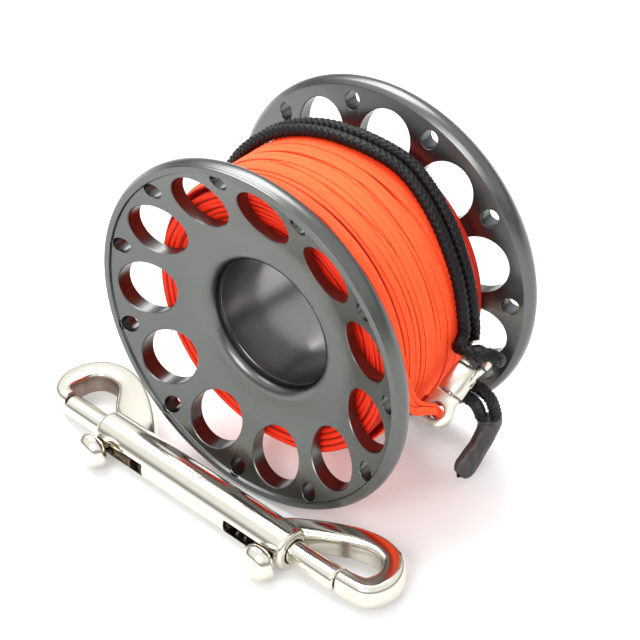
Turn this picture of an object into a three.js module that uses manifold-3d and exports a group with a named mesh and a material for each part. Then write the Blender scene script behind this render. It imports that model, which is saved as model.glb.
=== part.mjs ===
// Finger spool with its wound line, elastic cord, small swivel snap and double-ended bolt snap.
// Millimetres, +Z up. The part stands on z = 0 and its box is centred on x = 0, y = 0.

import * as THREE from 'three';
import { mergeVertices } from 'three/addons/utils/BufferGeometryUtils.js';
import Module from 'manifold-3d';

const wasm = await Module();
wasm.setup();

// Driving sizes of the spool. Its axis lies along Y, and y = 0 is the front web's outer face.
const rimRadius = 38.5;
const boreRadius = 14.3;
const webSpan = 39.94;
const webThickness = 3.2;
const holeCircleShare = 0.75;
const holeRadiusShare = 0.1595;
const drainCircleShare = 0.8945;
const drainRadiusShare = 0.0488;
const holeCount = 11;
const firstHoleTurn = -26.6;

// Driving sizes of the line, the cord and the two snaps
const bandWidth = 4.4;
const bandThickness = 1.1;
const bandSpacing = 0.45;
const cordRadius = 1.25;
const cordSpacing = 0.62;
const snapBarrelRadius = 4.5;
const snapBarrelLength = 55.2;
const snapBoltRadius = 2.5;
const snapTravel = 11;
const linkBarrelRadius = 2.3;

// Fits shared by all pieces
const clearance = 0.3;
const overrun = 2;

const degree = Math.PI / 180;
const group = new THREE.Group();
const spool = new THREE.Group();
spool.position.z = rimRadius;
group.add(spool);

// Materials
function finish(color, roughness, metalness) {
  return () => new THREE.MeshStandardMaterial({ color, roughness, metalness });
}
const satinAluminium = finish(0x82837f, 0.42, 0.9);
const darkAluminium = finish(0x4a4648, 0.5, 0.9);
const orangeLine = finish(0xff5a1e, 0.8, 0);
const deepLine = finish(0x9c1408, 0.85, 0);
const blackCord = finish(0x1c1b1c, 0.7, 0);
const shrinkTube = finish(0x3a3a38, 0.5, 0);
const polishedSteel = finish(0xdcd8cc, 0.18, 1);
const springSteel = finish(0x9a9894, 0.35, 1);

// Geometry helpers
function signedVolume(positions, triangles) {
  let six = 0;
  const [a, b, c] = [new THREE.Vector3(), new THREE.Vector3(), new THREE.Vector3()];
  for (let i = 0; i < triangles.length; i += 3) {
    a.fromArray(positions, 3 * triangles[i]);
    b.fromArray(positions, 3 * triangles[i + 1]);
    c.fromArray(positions, 3 * triangles[i + 2]);
    six += a.dot(b.cross(c));
  }
  return six / 6;
}

// One closed body from any closed geometry: shared corners merged, flat triangles dropped, faces out
function closedBody(geometry) {
  const bare = geometry.clone();
  bare.deleteAttribute('normal');
  bare.deleteAttribute('uv');
  const merged = mergeVertices(bare);
  const index = Array.from(merged.index.array);
  const triangles = [];
  for (let i = 0; i < index.length; i += 3) {
    const [a, b, c] = index.slice(i, i + 3);
    if (a !== b && b !== c && a !== c) triangles.push(a, b, c);
  }
  const positions = merged.attributes.position.array;
  if (signedVolume(positions, triangles) < 0) triangles.reverse();
  merged.setIndex(triangles);
  return merged;
}

function toSolid(geometry) {
  const body = closedBody(geometry);
  return new wasm.Manifold(new wasm.Mesh({
    numProp: 3,
    vertProperties: new Float32Array(body.attributes.position.array),
    triVerts: new Uint32Array(body.index.array),
  }));
}

function toGeometry(solid) {
  const mesh = solid.getMesh();
  const geometry = new THREE.BufferGeometry();
  geometry.setAttribute('position', new THREE.BufferAttribute(new Float32Array(mesh.vertProperties), 3));
  geometry.setIndex(Array.from(mesh.triVerts));
  return geometry;
}

// Joins the first list of geometries and cuts the second from it
function built(joined, cuts = []) {
  let solid = toSolid(joined[0]);
  for (const geometry of joined.slice(1)) solid = solid.add(toSolid(geometry));
  for (const geometry of cuts) solid = solid.subtract(toSolid(geometry));
  return toGeometry(solid);
}

// Revolves a profile of [radius, height] pairs about Y; a profile off the axis closes on itself
function lathe(profile, segments) {
  const points = profile.map(([r, y]) => new THREE.Vector2(r, y));
  if (profile[0][0] > 0) points.push(points[0].clone());
  return new THREE.LatheGeometry(points, segments);
}

function cylinder(radius, from, to, segments) {
  return lathe([[0, from], [radius, from], [radius, to], [0, to]], segments);
}

function box(low, high) {
  const size = high.map((v, i) => v - low[i]);
  const geometry = new THREE.BoxGeometry(...size);
  return geometry.translate(...low.map((v, i) => v + size[i] / 2));
}

function ring(sides) {
  return Array.from({ length: sides }, (_, i) => {
    const turn = 2 * Math.PI * i / sides;
    return [Math.cos(turn), Math.sin(turn)];
  });
}

// Corners of a section at each of the stations { at, up, wide, thick }. Up is the section's
// thickness direction and is carried along from the last station where a station names none.
function sectionCorners(stations, section) {
  const up = new THREE.Vector3();
  return stations.map((station, i) => {
    const before = stations[Math.max(i - 1, 0)].at;
    const after = stations[Math.min(i + 1, stations.length - 1)].at;
    const along = after.clone().sub(before).normalize();
    if (station.up) up.copy(station.up);
    up.addScaledVector(along, -up.dot(along)).normalize();
    const across = new THREE.Vector3().crossVectors(up, along);
    return section.map(([s, t]) => station.at.clone()
      .addScaledVector(across, s * station.wide / 2)
      .addScaledVector(up, t * station.thick / 2));
  });
}

// Sweeps a section along the stations and closes both ends
function sweep(stations, section) {
  const triangles = [];
  const sides = section.length;
  const last = (stations.length - 1) * sides;
  for (let i = 0; i < last; i += sides) {
    for (let j = 0; j < sides; j++) {
      const [a, b] = [i + j, i + (j + 1) % sides];
      triangles.push(a, b, a + sides, b, b + sides, a + sides);
    }
  }
  for (let j = 1; j + 1 < sides; j++) {
    triangles.push(0, j + 1, j, last, last + j, last + j + 1);
  }
  const positions = sectionCorners(stations, section).flat().flatMap((corner) => corner.toArray());
  const geometry = new THREE.BufferGeometry();
  geometry.setAttribute('position', new THREE.Float32BufferAttribute(positions, 3));
  geometry.setIndex(triangles);
  return closedBody(geometry);
}

// Least distance between two stretches of one tube that are further apart along it than the
// reach, from the section's corners, and the points midway between them, to the other's edges
function leastGap(stations, section, reach) {
  const corners = sectionCorners(stations, section);
  const run = [0];
  for (let i = 1; i < stations.length; i++) {
    run.push(run[i - 1] + stations[i].at.distanceTo(stations[i - 1].at));
  }
  const [edge, nearest, middle] = [new THREE.Line3(), new THREE.Vector3(), new THREE.Vector3()];
  let least = Infinity;
  for (let i = 0; i + 1 < stations.length; i++) {
    for (let j = 0; j + 1 < stations.length; j++) {
      const apart = Math.min(Math.abs(run[j] - run[i + 1]), Math.abs(run[i] - run[j + 1]));
      if (apart < reach || (j >= i - 1 && j <= i + 1)) continue;
      for (let m = 0; m < section.length; m++) {
        edge.set(corners[j][m], corners[j + 1][m]);
        for (let k = 0; k < section.length; k++) {
          middle.lerpVectors(corners[i][k], corners[i + 1][k], 0.5);
          for (const point of [corners[i][k], middle]) {
            edge.closestPointToPoint(point, true, nearest);
            least = Math.min(least, point.distanceTo(nearest));
          }
        }
      }
    }
  }
  return least;
}

function addMesh(parent, name, geometry, material) {
  const mesh = new THREE.Mesh(closedBody(geometry), material());
  mesh.name = name;
  parent.add(mesh);
  return mesh;
}

// Flange: a dished web with a flared bore, two rings of holes, a raised lip and a rolled bead
const outerSlopeShare = 0.377;
const innerSlopeShare = 0.292;
const hubRecess = 3.2;
const flareRadius = 2.5;
const hubBlend = 7.4;
const lipWidth = 1.35;
const lipHeight = 0.62;
const lipChamfer = 0.2;
const grooveDepth = 0.45;
const beadReach = 1;
const beadHalfWidth = 1.65;
const beadCentre = 1.4;
const beadShares = [[-0.43, -0.82], [0, -0.34], [0, 0.34], [-0.5, 0.87]];
const collarWall = 2.4;
const collarLength = 4;
const sleeveWall = 2;
const boreSeat = 0.35;
const flareSteps = 4;
const blendSteps = 3;
const flangeSegments = 44;
const holeSegments = 16;
const drainSegments = 8;

const holeCircle = holeCircleShare * rimRadius;
const holeRadius = holeRadiusShare * rimRadius;
const drainCircle = drainCircleShare * rimRadius;
const drainRadius = drainRadiusShare * rimRadius;
const outerFace = (r) => outerSlopeShare * (holeCircle - r);
const innerFace = (r) => webThickness + innerSlopeShare * (holeCircle - r);
const sleeveRadius = boreRadius + sleeveWall;
const collarBore = sleeveRadius + clearance;
const collarRadius = collarBore + collarWall;
const sleeveSeat = hubRecess + flareRadius + boreSeat;
const collarEnd = innerFace(collarRadius) + collarLength;

function flangeProfile() {
  const points = [];
  for (let i = 0; i <= flareSteps; i++) {
    const turn = 90 * degree * i / flareSteps;
    points.push([
      boreRadius + flareRadius * (1 - Math.cos(turn)),
      hubRecess + flareRadius * (1 - Math.sin(turn)),
    ]);
  }
  const blendStart = boreRadius + flareRadius;
  const corner = holeCircle - hubRecess / outerSlopeShare;
  const blendEnd = blendStart + hubBlend;
  const blend = new THREE.QuadraticBezierCurve(
    new THREE.Vector2(blendStart, hubRecess),
    new THREE.Vector2(corner, hubRecess),
    new THREE.Vector2(blendEnd, outerFace(blendEnd)),
  );
  for (const point of blend.getPoints(blendSteps).slice(1)) points.push(point.toArray());
  const lipOuter = rimRadius - beadReach + lipChamfer;
  const lipInner = lipOuter - lipWidth;
  const lipTop = outerFace(lipInner) - lipHeight;
  points.push([lipInner - lipChamfer, outerFace(lipInner - lipChamfer)]);
  points.push([lipInner, lipTop], [lipOuter, lipTop]);
  points.push([lipOuter + lipChamfer, lipTop + grooveDepth]);
  for (const [s, t] of beadShares) {
    points.push([rimRadius + beadReach * s, -beadCentre + beadHalfWidth * t]);
  }
  const edge = rimRadius - beadReach - lipChamfer;
  points.push([edge, innerFace(edge)]);
  points.push([collarRadius, innerFace(collarRadius)], [collarRadius, collarEnd]);
  points.push([collarBore, collarEnd], [collarBore, sleeveSeat], [boreRadius, sleeveSeat]);
  return points;
}

function flangeGeometry(firstTurn) {
  const cuts = [];
  const pitch = 360 * degree / holeCount;
  const drill = (circle, radius, segments, turn) => {
    const hole = cylinder(radius, -webSpan / 2, webSpan / 2, segments);
    cuts.push(hole.translate(circle * Math.sin(turn), 0, circle * Math.cos(turn)));
  };
  for (let i = 0; i < holeCount; i++) {
    const turn = firstTurn * degree + pitch * i;
    drill(holeCircle, holeRadius, holeSegments, turn);
    drill(drainCircle, drainRadius, drainSegments, turn + pitch / 2);
  }
  return built([lathe(flangeProfile(), flangeSegments)], cuts);
}

addMesh(spool, 'flange_front', flangeGeometry(firstHoleTurn), satinAluminium);
const flangeRear = addMesh(spool, 'flange_rear', flangeGeometry(-firstHoleTurn), satinAluminium);
flangeRear.position.y = webSpan;
flangeRear.rotation.z = Math.PI;

// Hub sleeve between the two flanges' seats
const sleeveStart = sleeveSeat + clearance;
addMesh(spool, 'hub_sleeve', lathe([
  [boreRadius, sleeveStart],
  [sleeveRadius, sleeveStart],
  [sleeveRadius, webSpan - sleeveStart],
  [boreRadius, webSpan - sleeveStart],
], flangeSegments), darkAluminium);

// Inner layers of line: a plain core whose sides follow the flanges' inner faces
const coreRadius = 29;
const frontPackGap = 1.3;
const coreSegments = 44;
const coreBore = sleeveRadius + clearance;
const coreStep = collarRadius + clearance;
const frontSide = (r) => innerFace(r) + frontPackGap;
const rearSide = (r) => webSpan - innerFace(r) - clearance;
const bandRadius = coreRadius + 2 * clearance + bandThickness / 2;

// A place beside the line pack: how far out past its side, a share of the web span, and a height
function beside(out, share, height) {
  return new THREE.Vector3(bandRadius + out, webSpan * share, height);
}

addMesh(spool, 'line_core', lathe([
  [coreBore, collarEnd + clearance],
  [coreStep, collarEnd + clearance],
  [coreStep, frontSide(coreStep)],
  [coreRadius, frontSide(coreRadius)],
  [coreRadius, rearSide(coreRadius)],
  [coreStep, rearSide(coreStep)],
  [coreStep, webSpan - collarEnd - clearance],
  [coreBore, webSpan - collarEnd - clearance],
], coreSegments), deepLine);

// Small swivel snap: its own frame has the eye's middle at the origin, the snap's length along Y
// and the gate's side along X. It lies beside the line pack.
const eyePlaceShares = [4.15, 0.3655, -10.9];
const eyePlace = beside(...eyePlaceShares);
const linkAlong = new THREE.Vector3(0.1122, 0.7773, 0.619).normalize();
const linkFace = new THREE.Vector3(0.1478, -0.6291, 0.7631);
const linkSide = new THREE.Vector3().crossVectors(linkAlong, linkFace).normalize();
linkFace.crossVectors(linkSide, linkAlong);
const link = new THREE.Group();
link.position.copy(eyePlace);
link.quaternion.setFromRotationMatrix(new THREE.Matrix4().makeBasis(linkSide, linkAlong, linkFace));
spool.add(link);

const eyeRadius = 3.2;
const eyeHoleRadius = 1.6;
const eyeThickness = 2.4;
const linkBarrelStart = 4.5;
const linkNeckWall = 0.7;
const stemRadius = 0.8;
const headRadius = 1.3;
const headLength = 1.4;
const headStart = linkBarrelStart + linkNeckWall + clearance;

function eyeRing() {
  const tube = (eyeRadius - eyeHoleRadius) / 2;
  const profile = ring(10).map(([s, t]) => [eyeHoleRadius + tube + tube * s, eyeThickness / 2 * t]);
  return lathe(profile, 20).rotateX(90 * degree);
}
addMesh(link, 'link_eye', built([
  eyeRing(),
  lathe([
    [0, eyeRadius - stemRadius],
    [stemRadius, eyeRadius - stemRadius],
    [stemRadius, headStart],
    [headRadius, headStart],
    [headRadius, headStart + headLength],
    [0, headStart + headLength],
  ], 14),
]), polishedSteel);

// Barrel and hook of the small snap: a turned barrel, a flat hook and two ears for the gate
const hookCentre = [0.4, 13.5];
const hookHoleRadius = 2.1;
const hookBar = 1;
const hookThickness = 2.4;
const hookSegments = 9;
const noseTurn = -25;
const gateWidth = 1.2;
const gateThickness = 1.1;
const gateEyeRadius = 0.95;
const gatePinRadius = 0.42;
const gatePin = [1.75, 8.9];
const shankLeft = -2.1;
const shankWidth = 1.5;
const earLeft = -0.4;
const earTop = gatePin[1] + gateEyeRadius;
const cavityRadius = headRadius + clearance;
const cavityEnd = headStart + headLength + clearance;
const slotBottom = gatePin[1] - gateEyeRadius - clearance;
const linkBarrelEnd = slotBottom + linkNeckWall;

// A flat plate of the given outline, its thickness centred on z = 0
function plate(shape, thickness, curveSegments) {
  const geometry = new THREE.ExtrudeGeometry(shape, {
    depth: thickness,
    bevelEnabled: false,
    curveSegments,
  });
  return geometry.translate(0, 0, -thickness / 2);
}

function hookPlate() {
  const outer = hookHoleRadius + hookBar;
  const [cx, cy] = hookCentre;
  const shankRight = shankLeft + shankWidth;
  const shape = new THREE.Shape();
  const nose = noseTurn * degree;
  const inside = Math.acos((shankRight - cx) / hookHoleRadius);
  const outside = Math.acos((shankLeft - cx) / outer);
  shape.moveTo(shankLeft, linkBarrelEnd - linkNeckWall);
  shape.lineTo(shankRight, linkBarrelEnd - linkNeckWall);
  shape.lineTo(shankRight, cy - hookHoleRadius * Math.sin(inside));
  shape.absarc(cx, cy, hookHoleRadius, -inside, nose - 2 * Math.PI, true);
  shape.lineTo(cx + outer * Math.cos(nose), cy + outer * Math.sin(nose));
  shape.absarc(cx, cy, outer, nose, 2 * Math.PI - outside, false);
  shape.closePath();
  return plate(shape, hookThickness, hookSegments);
}

function linkBody() {
  const barrel = lathe([
    [stemRadius + clearance, linkBarrelStart],
    [linkBarrelRadius - clearance, linkBarrelStart],
    [linkBarrelRadius, linkBarrelStart + clearance],
    [linkBarrelRadius, linkBarrelEnd - clearance],
    [linkBarrelRadius - clearance, linkBarrelEnd],
    [0, linkBarrelEnd],
    [0, cavityEnd],
    [cavityRadius, cavityEnd],
    [cavityRadius, linkBarrelStart + linkNeckWall],
    [stemRadius + clearance, linkBarrelStart + linkNeckWall],
    [stemRadius + clearance, linkBarrelStart],
  ], 20);
  const ears = box(
    [earLeft, cavityEnd + clearance, -hookThickness / 2],
    [gatePin[0] + gateEyeRadius, earTop, hookThickness / 2],
  );
  const slot = box(
    [earLeft - clearance, slotBottom, -gateThickness / 2 - clearance],
    [gatePin[0] + gateEyeRadius + overrun, earTop + overrun, gateThickness / 2 + clearance],
  );
  const pinHole = cylinder(gatePinRadius + clearance, -hookThickness, hookThickness, 12)
    .rotateX(90 * degree).translate(...gatePin, 0);
  return built([barrel, hookPlate(), ears], [slot, pinHole]);
}
addMesh(link, 'link_body', linkBody(), polishedSteel);

// Gate: a flat lever from its eye to just under the hook's nose
const gateTip = [
  hookCentre[0] + (hookHoleRadius + hookBar / 2) * Math.cos(noseTurn * degree),
  hookCentre[1] + (hookHoleRadius + hookBar) * Math.sin(noseTurn * degree) - clearance,
];
function gateGeometry() {
  const run = new THREE.Vector2(gateTip[0] - gatePin[0], gateTip[1] - gatePin[1]);
  const lean = Math.atan2(run.x, run.y);
  const shape = new THREE.Shape();
  shape.moveTo(-gateWidth / 2, run.length());
  shape.lineTo(-gateEyeRadius, 0);
  shape.absarc(0, 0, gateEyeRadius, Math.PI, 2 * Math.PI, false);
  shape.lineTo(gateWidth / 2, run.length());
  shape.closePath();
  const hole = new THREE.Path();
  hole.absarc(0, 0, gatePinRadius + clearance, 0, 2 * Math.PI, true);
  shape.holes.push(hole);
  return plate(shape, gateThickness, hookSegments).rotateZ(-lean);
}
const gate = addMesh(link, 'link_gate', gateGeometry(), polishedSteel);
gate.position.set(...gatePin, 0);

const pinShaft = cylinder(gatePinRadius, -hookThickness / 2, hookThickness / 2, 12);
const pin = addMesh(link, 'link_gate_pin', pinShaft, polishedSteel);
pin.position.set(...gatePin, 0);
pin.rotation.x = 90 * degree;

// Outer layer of line: one flat band wound from the rear flange to the front, whose tail leaves
// the pack, goes through the small snap's eye and back to the pack
const bandSectionShares = [[1, 0], [0.75, 1], [-0.75, 1], [-1, 0], [-0.75, -1], [0.75, -1]];
const loopSteps = 24;
const bandPitch = bandWidth + bandSpacing;
const windStart = rearSide(coreRadius) - bandWidth / 2;
const windEnd = frontSide(coreRadius) + bandWidth / 2;
const windTurns = (windStart - windEnd) / bandPitch;
const lastTurn = 9;
const widenTurn = 50;
const leadBend = 1.5 * bandThickness;
const leadCornerShare = 0.3;
const tailWidth = bandWidth / 2;
const tailLift = 0.55;
const tailEndTurn = 1;

// Chosen places of the tail, as [out past the pack's side, share of the way along the axis from
// the last turn to the eye, height, share of the band's width]
const tailRouteShares = [
  [0.45, 0, 0.9, 1],
  [2.05, 0.08, -3.6, 0.95],
  [2.95, 0.27, -6.6, 0.77],
  [4.05, 0.55, -7.9, 0.57],
];
const returnRouteShares = [
  [3.35, 1.3, -13.7, 0.5],
  [2.05, 1.35, -14, 0.5],
];

function radial(turn, radius, y) {
  return new THREE.Vector3(radius * Math.cos(turn * degree), y, radius * Math.sin(turn * degree));
}

function windingStations() {
  const stations = [];
  const first = lastTurn + 360 * windTurns;
  const lead = (run, y) => {
    const turn = first + run / bandRadius / degree;
    stations.push({
      at: radial(turn, bandRadius, y),
      up: radial(turn, 1, 0),
      wide: bandThickness,
      thick: bandThickness,
    });
  };
  const flangeGap = rearSide(bandRadius - bandThickness / 2);
  lead(2 * leadBend, flangeGap);
  lead(2 * leadBend, flangeGap - bandThickness);
  lead((2 - leadCornerShare) * leadBend, windStart + leadCornerShare * leadBend);
  lead(leadBend, windStart);
  const steps = Math.round(windTurns * loopSteps);
  for (let i = 0; i <= steps; i++) {
    const wound = 360 * windTurns * i / steps;
    stations.push({
      at: radial(first - wound, bandRadius, windStart - bandPitch * wound / 360),
      up: radial(first - wound, 1, 0),
      wide: THREE.MathUtils.lerp(bandThickness, bandWidth, Math.min(wound / widenTurn, 1)),
      thick: bandThickness,
    });
  }
  const pass = (at, wide) => stations.push({ at, wide, thick: bandThickness });
  const tail = ([out, along, height, share]) => {
    const y = THREE.MathUtils.lerp(windEnd, eyePlace.y, along);
    pass(new THREE.Vector3(bandRadius + out, y, height), share * bandWidth);
  };
  tailRouteShares.forEach(tail);
  for (const depth of [eyeThickness, eyeThickness / 2, -eyeThickness / 2, -eyeThickness]) {
    pass(eyePlace.clone().addScaledVector(linkFace, depth), tailWidth);
  }
  returnRouteShares.forEach(tail);
  const end = stations.at(-1).at;
  const endTurn = Math.atan2(end.z, end.x) / degree + tailEndTurn;
  const endRadius = bandRadius + bandThickness / 2 + tailLift;
  pass(radial(endTurn, endRadius + leadBend, end.y), tailWidth);
  pass(radial(endTurn, endRadius, end.y), tailWidth);
  return stations;
}
const winding = windingStations();
addMesh(spool, 'line_winding', sweep(winding, bandSectionShares), orangeLine);
const windingGap = leastGap(winding, bandSectionShares, 3 * bandWidth);
console.log(`line winding: least gap to itself ${windingGap.toFixed(2)} mm`);

// Elastic cord: one unbroken loop, laid double round the pack. Its ends meet the heat-shrink
// sleeve below the small snap, and its bight goes through that snap's hook.
const cordSides = 8;
const cordLift = 0.5;
const cordCircle = bandRadius + bandThickness / 2 + cordLift + cordRadius;
const strandOffset = cordRadius + cordSpacing / 2;
const cordStep = 11.5;

// Chosen places of the pair's middle on the pack, as [angle from +X, share of the web span]
const packRouteShares = [
  [318, 0.734], [300, 0.741], [270, 0.726], [230, 0.696], [190, 0.681], [150, 0.691], [121, 0.701],
  [102, 0.716], [84, 0.731], [66, 0.764], [47, 0.729], [30, 0.694], [9, 0.674],
];

// Chosen places of the pair's middle from the sleeve to the pack, as [out past the pack's side,
// share of the web span, height], and the way from it to one strand
const sleeveRouteShares = [
  [[4.05, 0.846, -24.2], [1.25, 0.75, 0.3]],
  [[4.1, 0.82, -21.6], [1.2, 0.85, 0.35]],
  [[4.15, 0.776, -18.4], [0.95, 1.1, 0.45]],
  [[3.05, 0.734, -15.9], [0.3, 1.3, 0.4]],
  [[0.25, 0.724, -15.9], [0.1, 1.5, 0.1]],
  [[-3.15, 0.731, -19.2], [0, 1.5, 0]],
];

// Chosen places of the bight in the small snap's frame: over its front, through its hook and back
const bightRoute = [
  [-3.95, 15.6, 2.4], [-3.2, 13.8, 2.9], [-1.5, 13, 3.15], [0.2, 13.4, 3.2], [1, 13.8, 2.5],
  [0.75, 13.85, 1.2], [0.6, 13.9, 0], [0.45, 13.9, -1.2], [0.2, 14, -2.6],
  [-1.2, 14.4, -3.2], [-3, 15.6, -2.9], [-3.7, 17.6, -0.8],
];

function strand(side) {
  const places = packRouteShares.map(([turn, share]) => new THREE.Vector2(turn, webSpan * share));
  const steps = Math.round((places[0].x - places.at(-1).x) / cordStep);
  const onPack = new THREE.SplineCurve(places).getSpacedPoints(steps)
    .map(({ x, y }) => radial(x, cordCircle, y));
  const middles = sleeveRouteShares.map(([at]) => beside(...at)).concat(onPack);
  return middles.map((at, i) => {
    const apart = new THREE.Vector3(...(sleeveRouteShares[i] ?? sleeveRouteShares.at(-1))[1]);
    const along = middles[Math.min(i + 1, middles.length - 1)].clone()
      .sub(middles[Math.max(i - 1, 0)]).normalize();
    apart.addScaledVector(along, -apart.dot(along)).setLength(side * strandOffset);
    return at.clone().add(apart);
  });
}

link.updateMatrix();
const cord = [
  ...strand(-1),
  ...bightRoute.map((place) => new THREE.Vector3(...place).applyMatrix4(link.matrix)),
  ...strand(1).reverse(),
].map((at) => ({ at, wide: 2 * cordRadius, thick: 2 * cordRadius }));
cord[0].up = new THREE.Vector3(1, 0, 0);
addMesh(spool, 'cord_loop', sweep(cord, ring(cordSides)), blackCord);
const cordGap = leastGap(cord, ring(cordSides), 6 * cordRadius);
const cordLength = cord.slice(1).reduce((sum, s, i) => sum + s.at.distanceTo(cord[i].at), 0);
console.log(`elastic cord: length ${cordLength.toFixed(0)} mm`);
console.log(`elastic cord: least gap to itself ${cordGap.toFixed(2)} mm`);

// Heat-shrink sleeve: a closed oval boot on the cord's two ends, flattened at its tip
const bootMouth = [5.4, 3.3];
const bootMouthLength = 1.5;
const bootSlant = 0.08;
const bootRouteShares = [
  [[3.85, 0.844, -28.4], 5, 3.3],
  [[3.65, 0.784, -31], 4.8, 3.2],
  [[3.35, 0.719, -33.2], 5, 3],
  [[3.15, 0.661, -34.7], 5.2, 2.6],
  [[3.05, 0.639, -35.2], 3.6, 1.8],
];
const [cordMouth, beforeMouth] = sleeveRouteShares.map(([at]) => beside(...at));
const intoBoot = cordMouth.clone().sub(beforeMouth).normalize();
const bootStart = clearance + bootSlant;
const boot = [bootStart, bootStart + bootMouthLength].map((depth) => (
  { at: cordMouth.clone().addScaledVector(intoBoot, depth), wide: bootMouth[0], thick: bootMouth[1] }
));
for (const [at, wide, thick] of bootRouteShares) boot.push({ at: beside(...at), wide, thick });
boot[0].up = new THREE.Vector3(...sleeveRouteShares[0][1]).cross(intoBoot);
addMesh(spool, 'cord_sleeve', sweep(boot, ring(12)), shrinkTube);

// Double-ended bolt snap, lying on the table in front of the spool. Its own frame has the barrel's
// middle at the origin and its axis along X, with the hooks rising along Y.
const snapPlace = [-5.5, -12.6];
const snapYaw = -4.2;
const snap = new THREE.Group();
snap.position.set(...snapPlace, snapBarrelRadius - rimRadius);
snap.rotation.z = snapYaw * degree;
spool.add(snap);

const leftReach = 45.9;
const leftRise = 13.8;
const leftRoot = 15.5;
const leftNoseReturn = 6.1;
const rightReach = 48.2;
const rightRise = 11.9;
const rightRoot = 19.5;
const rightNoseReturn = 8.4;
const noseLength = 1.6;
const hookWidth = 3.8;
const hookHeight = 5.8;
const hookRouteShares = [
  [0, 0.08], [0.2, 0.46], [0.4, 0.76], [0.58, 0.95], [0.76, 1], [0.9, 0.88],
  [0.98, 0.6], [0.985, 0.3], [0.92, 0.06],
];
const hookSectionShares = [
  [1, 0.45], [0.8, 0.85], [0.3, 1], [-0.4, 0.95], [-0.9, 0.8], [-1, 0.4],
  [-1, -0.4], [-0.9, -0.8], [-0.4, -0.95], [0.3, -1], [0.8, -0.85], [1, -0.45],
];
const hookSteps = 22;
const boreFloor = 2.6;
const barrelChamfer = 0.8;
const boltStart = 18.4;
const thumbPlace = 24.6;
const thumbStemRadius = 1.2;
const thumbRadius = 2.75;
const thumbHeight = 4.4;
const thumbRim = 1.6;
const thumbSeat = 1.5;
const springWire = 0.6;
const springRadius = 1.9;
const springCurls = 6;
const springCurlSteps = 8;
const boltBore = snapBoltRadius + clearance;
const thumbFoot = snapBarrelRadius + clearance;
const barrelEnd = snapBarrelLength / 2;
const leftNose = leftReach - leftNoseReturn;
const rightNose = rightReach - rightNoseReturn;

// Turns a geometry made along +Y so that it lies along X, on the given side
function alongX(geometry, side) {
  return geometry.rotateZ(-side * 90 * degree);
}

// Hook bar: up from inside the barrel, over and back, so that its nose faces the bolt's tip
function snapHook(side, root, reach, rise, nose) {
  const span = reach - root;
  const route = hookRouteShares.map(([s, t]) => new THREE.Vector3(side * (root + span * s), rise * t, 0));
  route.push(new THREE.Vector3(side * (nose + noseLength), 0, 0));
  const places = new THREE.CatmullRomCurve3(route).getSpacedPoints(hookSteps);
  places.push(new THREE.Vector3(side * nose, 0, 0));
  const up = new THREE.Vector3(0, 0, 1);
  const stations = places.map((at) => ({ at, up, wide: hookWidth, thick: hookHeight }));
  const section = hookSectionShares.map(([s, t]) => [side * s, t]);
  return sweep(stations, section);
}

function snapBody() {
  const barrel = alongX(lathe([
    [0, -barrelEnd],
    [snapBarrelRadius - barrelChamfer, -barrelEnd],
    [snapBarrelRadius, -barrelEnd + barrelChamfer],
    [snapBarrelRadius, barrelEnd - barrelChamfer],
    [snapBarrelRadius - barrelChamfer, barrelEnd],
    [0, barrelEnd],
  ], 28), 1);
  const joined = [
    barrel,
    snapHook(-1, leftRoot, leftReach, leftRise, leftNose),
    snapHook(1, rightRoot, rightReach, rightRise, rightNose),
  ];
  const cuts = [];
  for (const side of [-1, 1]) {
    cuts.push(alongX(cylinder(boltBore, boreFloor, barrelEnd + overrun, 20), side));
    const reach = thumbStemRadius + clearance;
    const ends = [thumbPlace - snapTravel - reach, thumbPlace + reach].map((s) => side * s);
    cuts.push(box(
      [Math.min(...ends), -snapBarrelRadius - overrun, -reach],
      [Math.max(...ends), 0, reach],
    ));
  }
  return built(joined, cuts);
}
addMesh(snap, 'snap_body', snapBody(), polishedSteel);

function boltGeometry(side, tip) {
  const rod = alongX(lathe([
    [0, boltStart],
    [snapBoltRadius, boltStart],
    [snapBoltRadius, tip - barrelChamfer],
    [snapBoltRadius - barrelChamfer, tip],
    [0, tip],
  ], 20), side);
  const seatFloor = thumbSeat - snapBoltRadius;
  const seat = cylinder(thumbStemRadius + clearance, -snapBoltRadius - overrun, seatFloor, 14);
  return built([rod], [seat.translate(side * thumbPlace, 0, 0)]);
}

function thumbGeometry(side) {
  const top = thumbFoot + thumbHeight;
  return lathe([
    [0, snapBoltRadius - thumbSeat + clearance],
    [thumbStemRadius, snapBoltRadius - thumbSeat + clearance],
    [thumbStemRadius, thumbFoot],
    [thumbStemRadius + clearance, thumbFoot + clearance],
    [thumbRadius, top - thumbRim],
    [thumbRadius, top - thumbRim / 2],
    [thumbRadius - thumbRim / 2, top],
    [0, top],
  ], 18).rotateZ(Math.PI).translate(side * thumbPlace, 0, 0);
}

// Spring behind a bolt: its ends run straight along the axis for one wire diameter
function springStations(side) {
  const from = boreFloor + clearance;
  const to = boltStart - clearance;
  const curlStart = from + 2 * springWire;
  const curlLength = to - 2 * springWire - curlStart;
  const steps = springCurlSteps * springCurls;
  const stations = [];
  const add = (s, step) => {
    const turn = 2 * Math.PI * step / springCurlSteps;
    const out = new THREE.Vector3(0, Math.cos(turn), Math.sin(turn));
    const at = out.clone().multiplyScalar(springRadius).setX(side * s);
    stations.push({ at, up: out, wide: springWire, thick: springWire });
  };
  add(from, 0);
  add(from + springWire, 0);
  for (let i = 1; i < steps; i++) add(curlStart + curlLength * i / steps, i);
  add(to - springWire, steps);
  add(to, steps);
  return stations;
}

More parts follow.
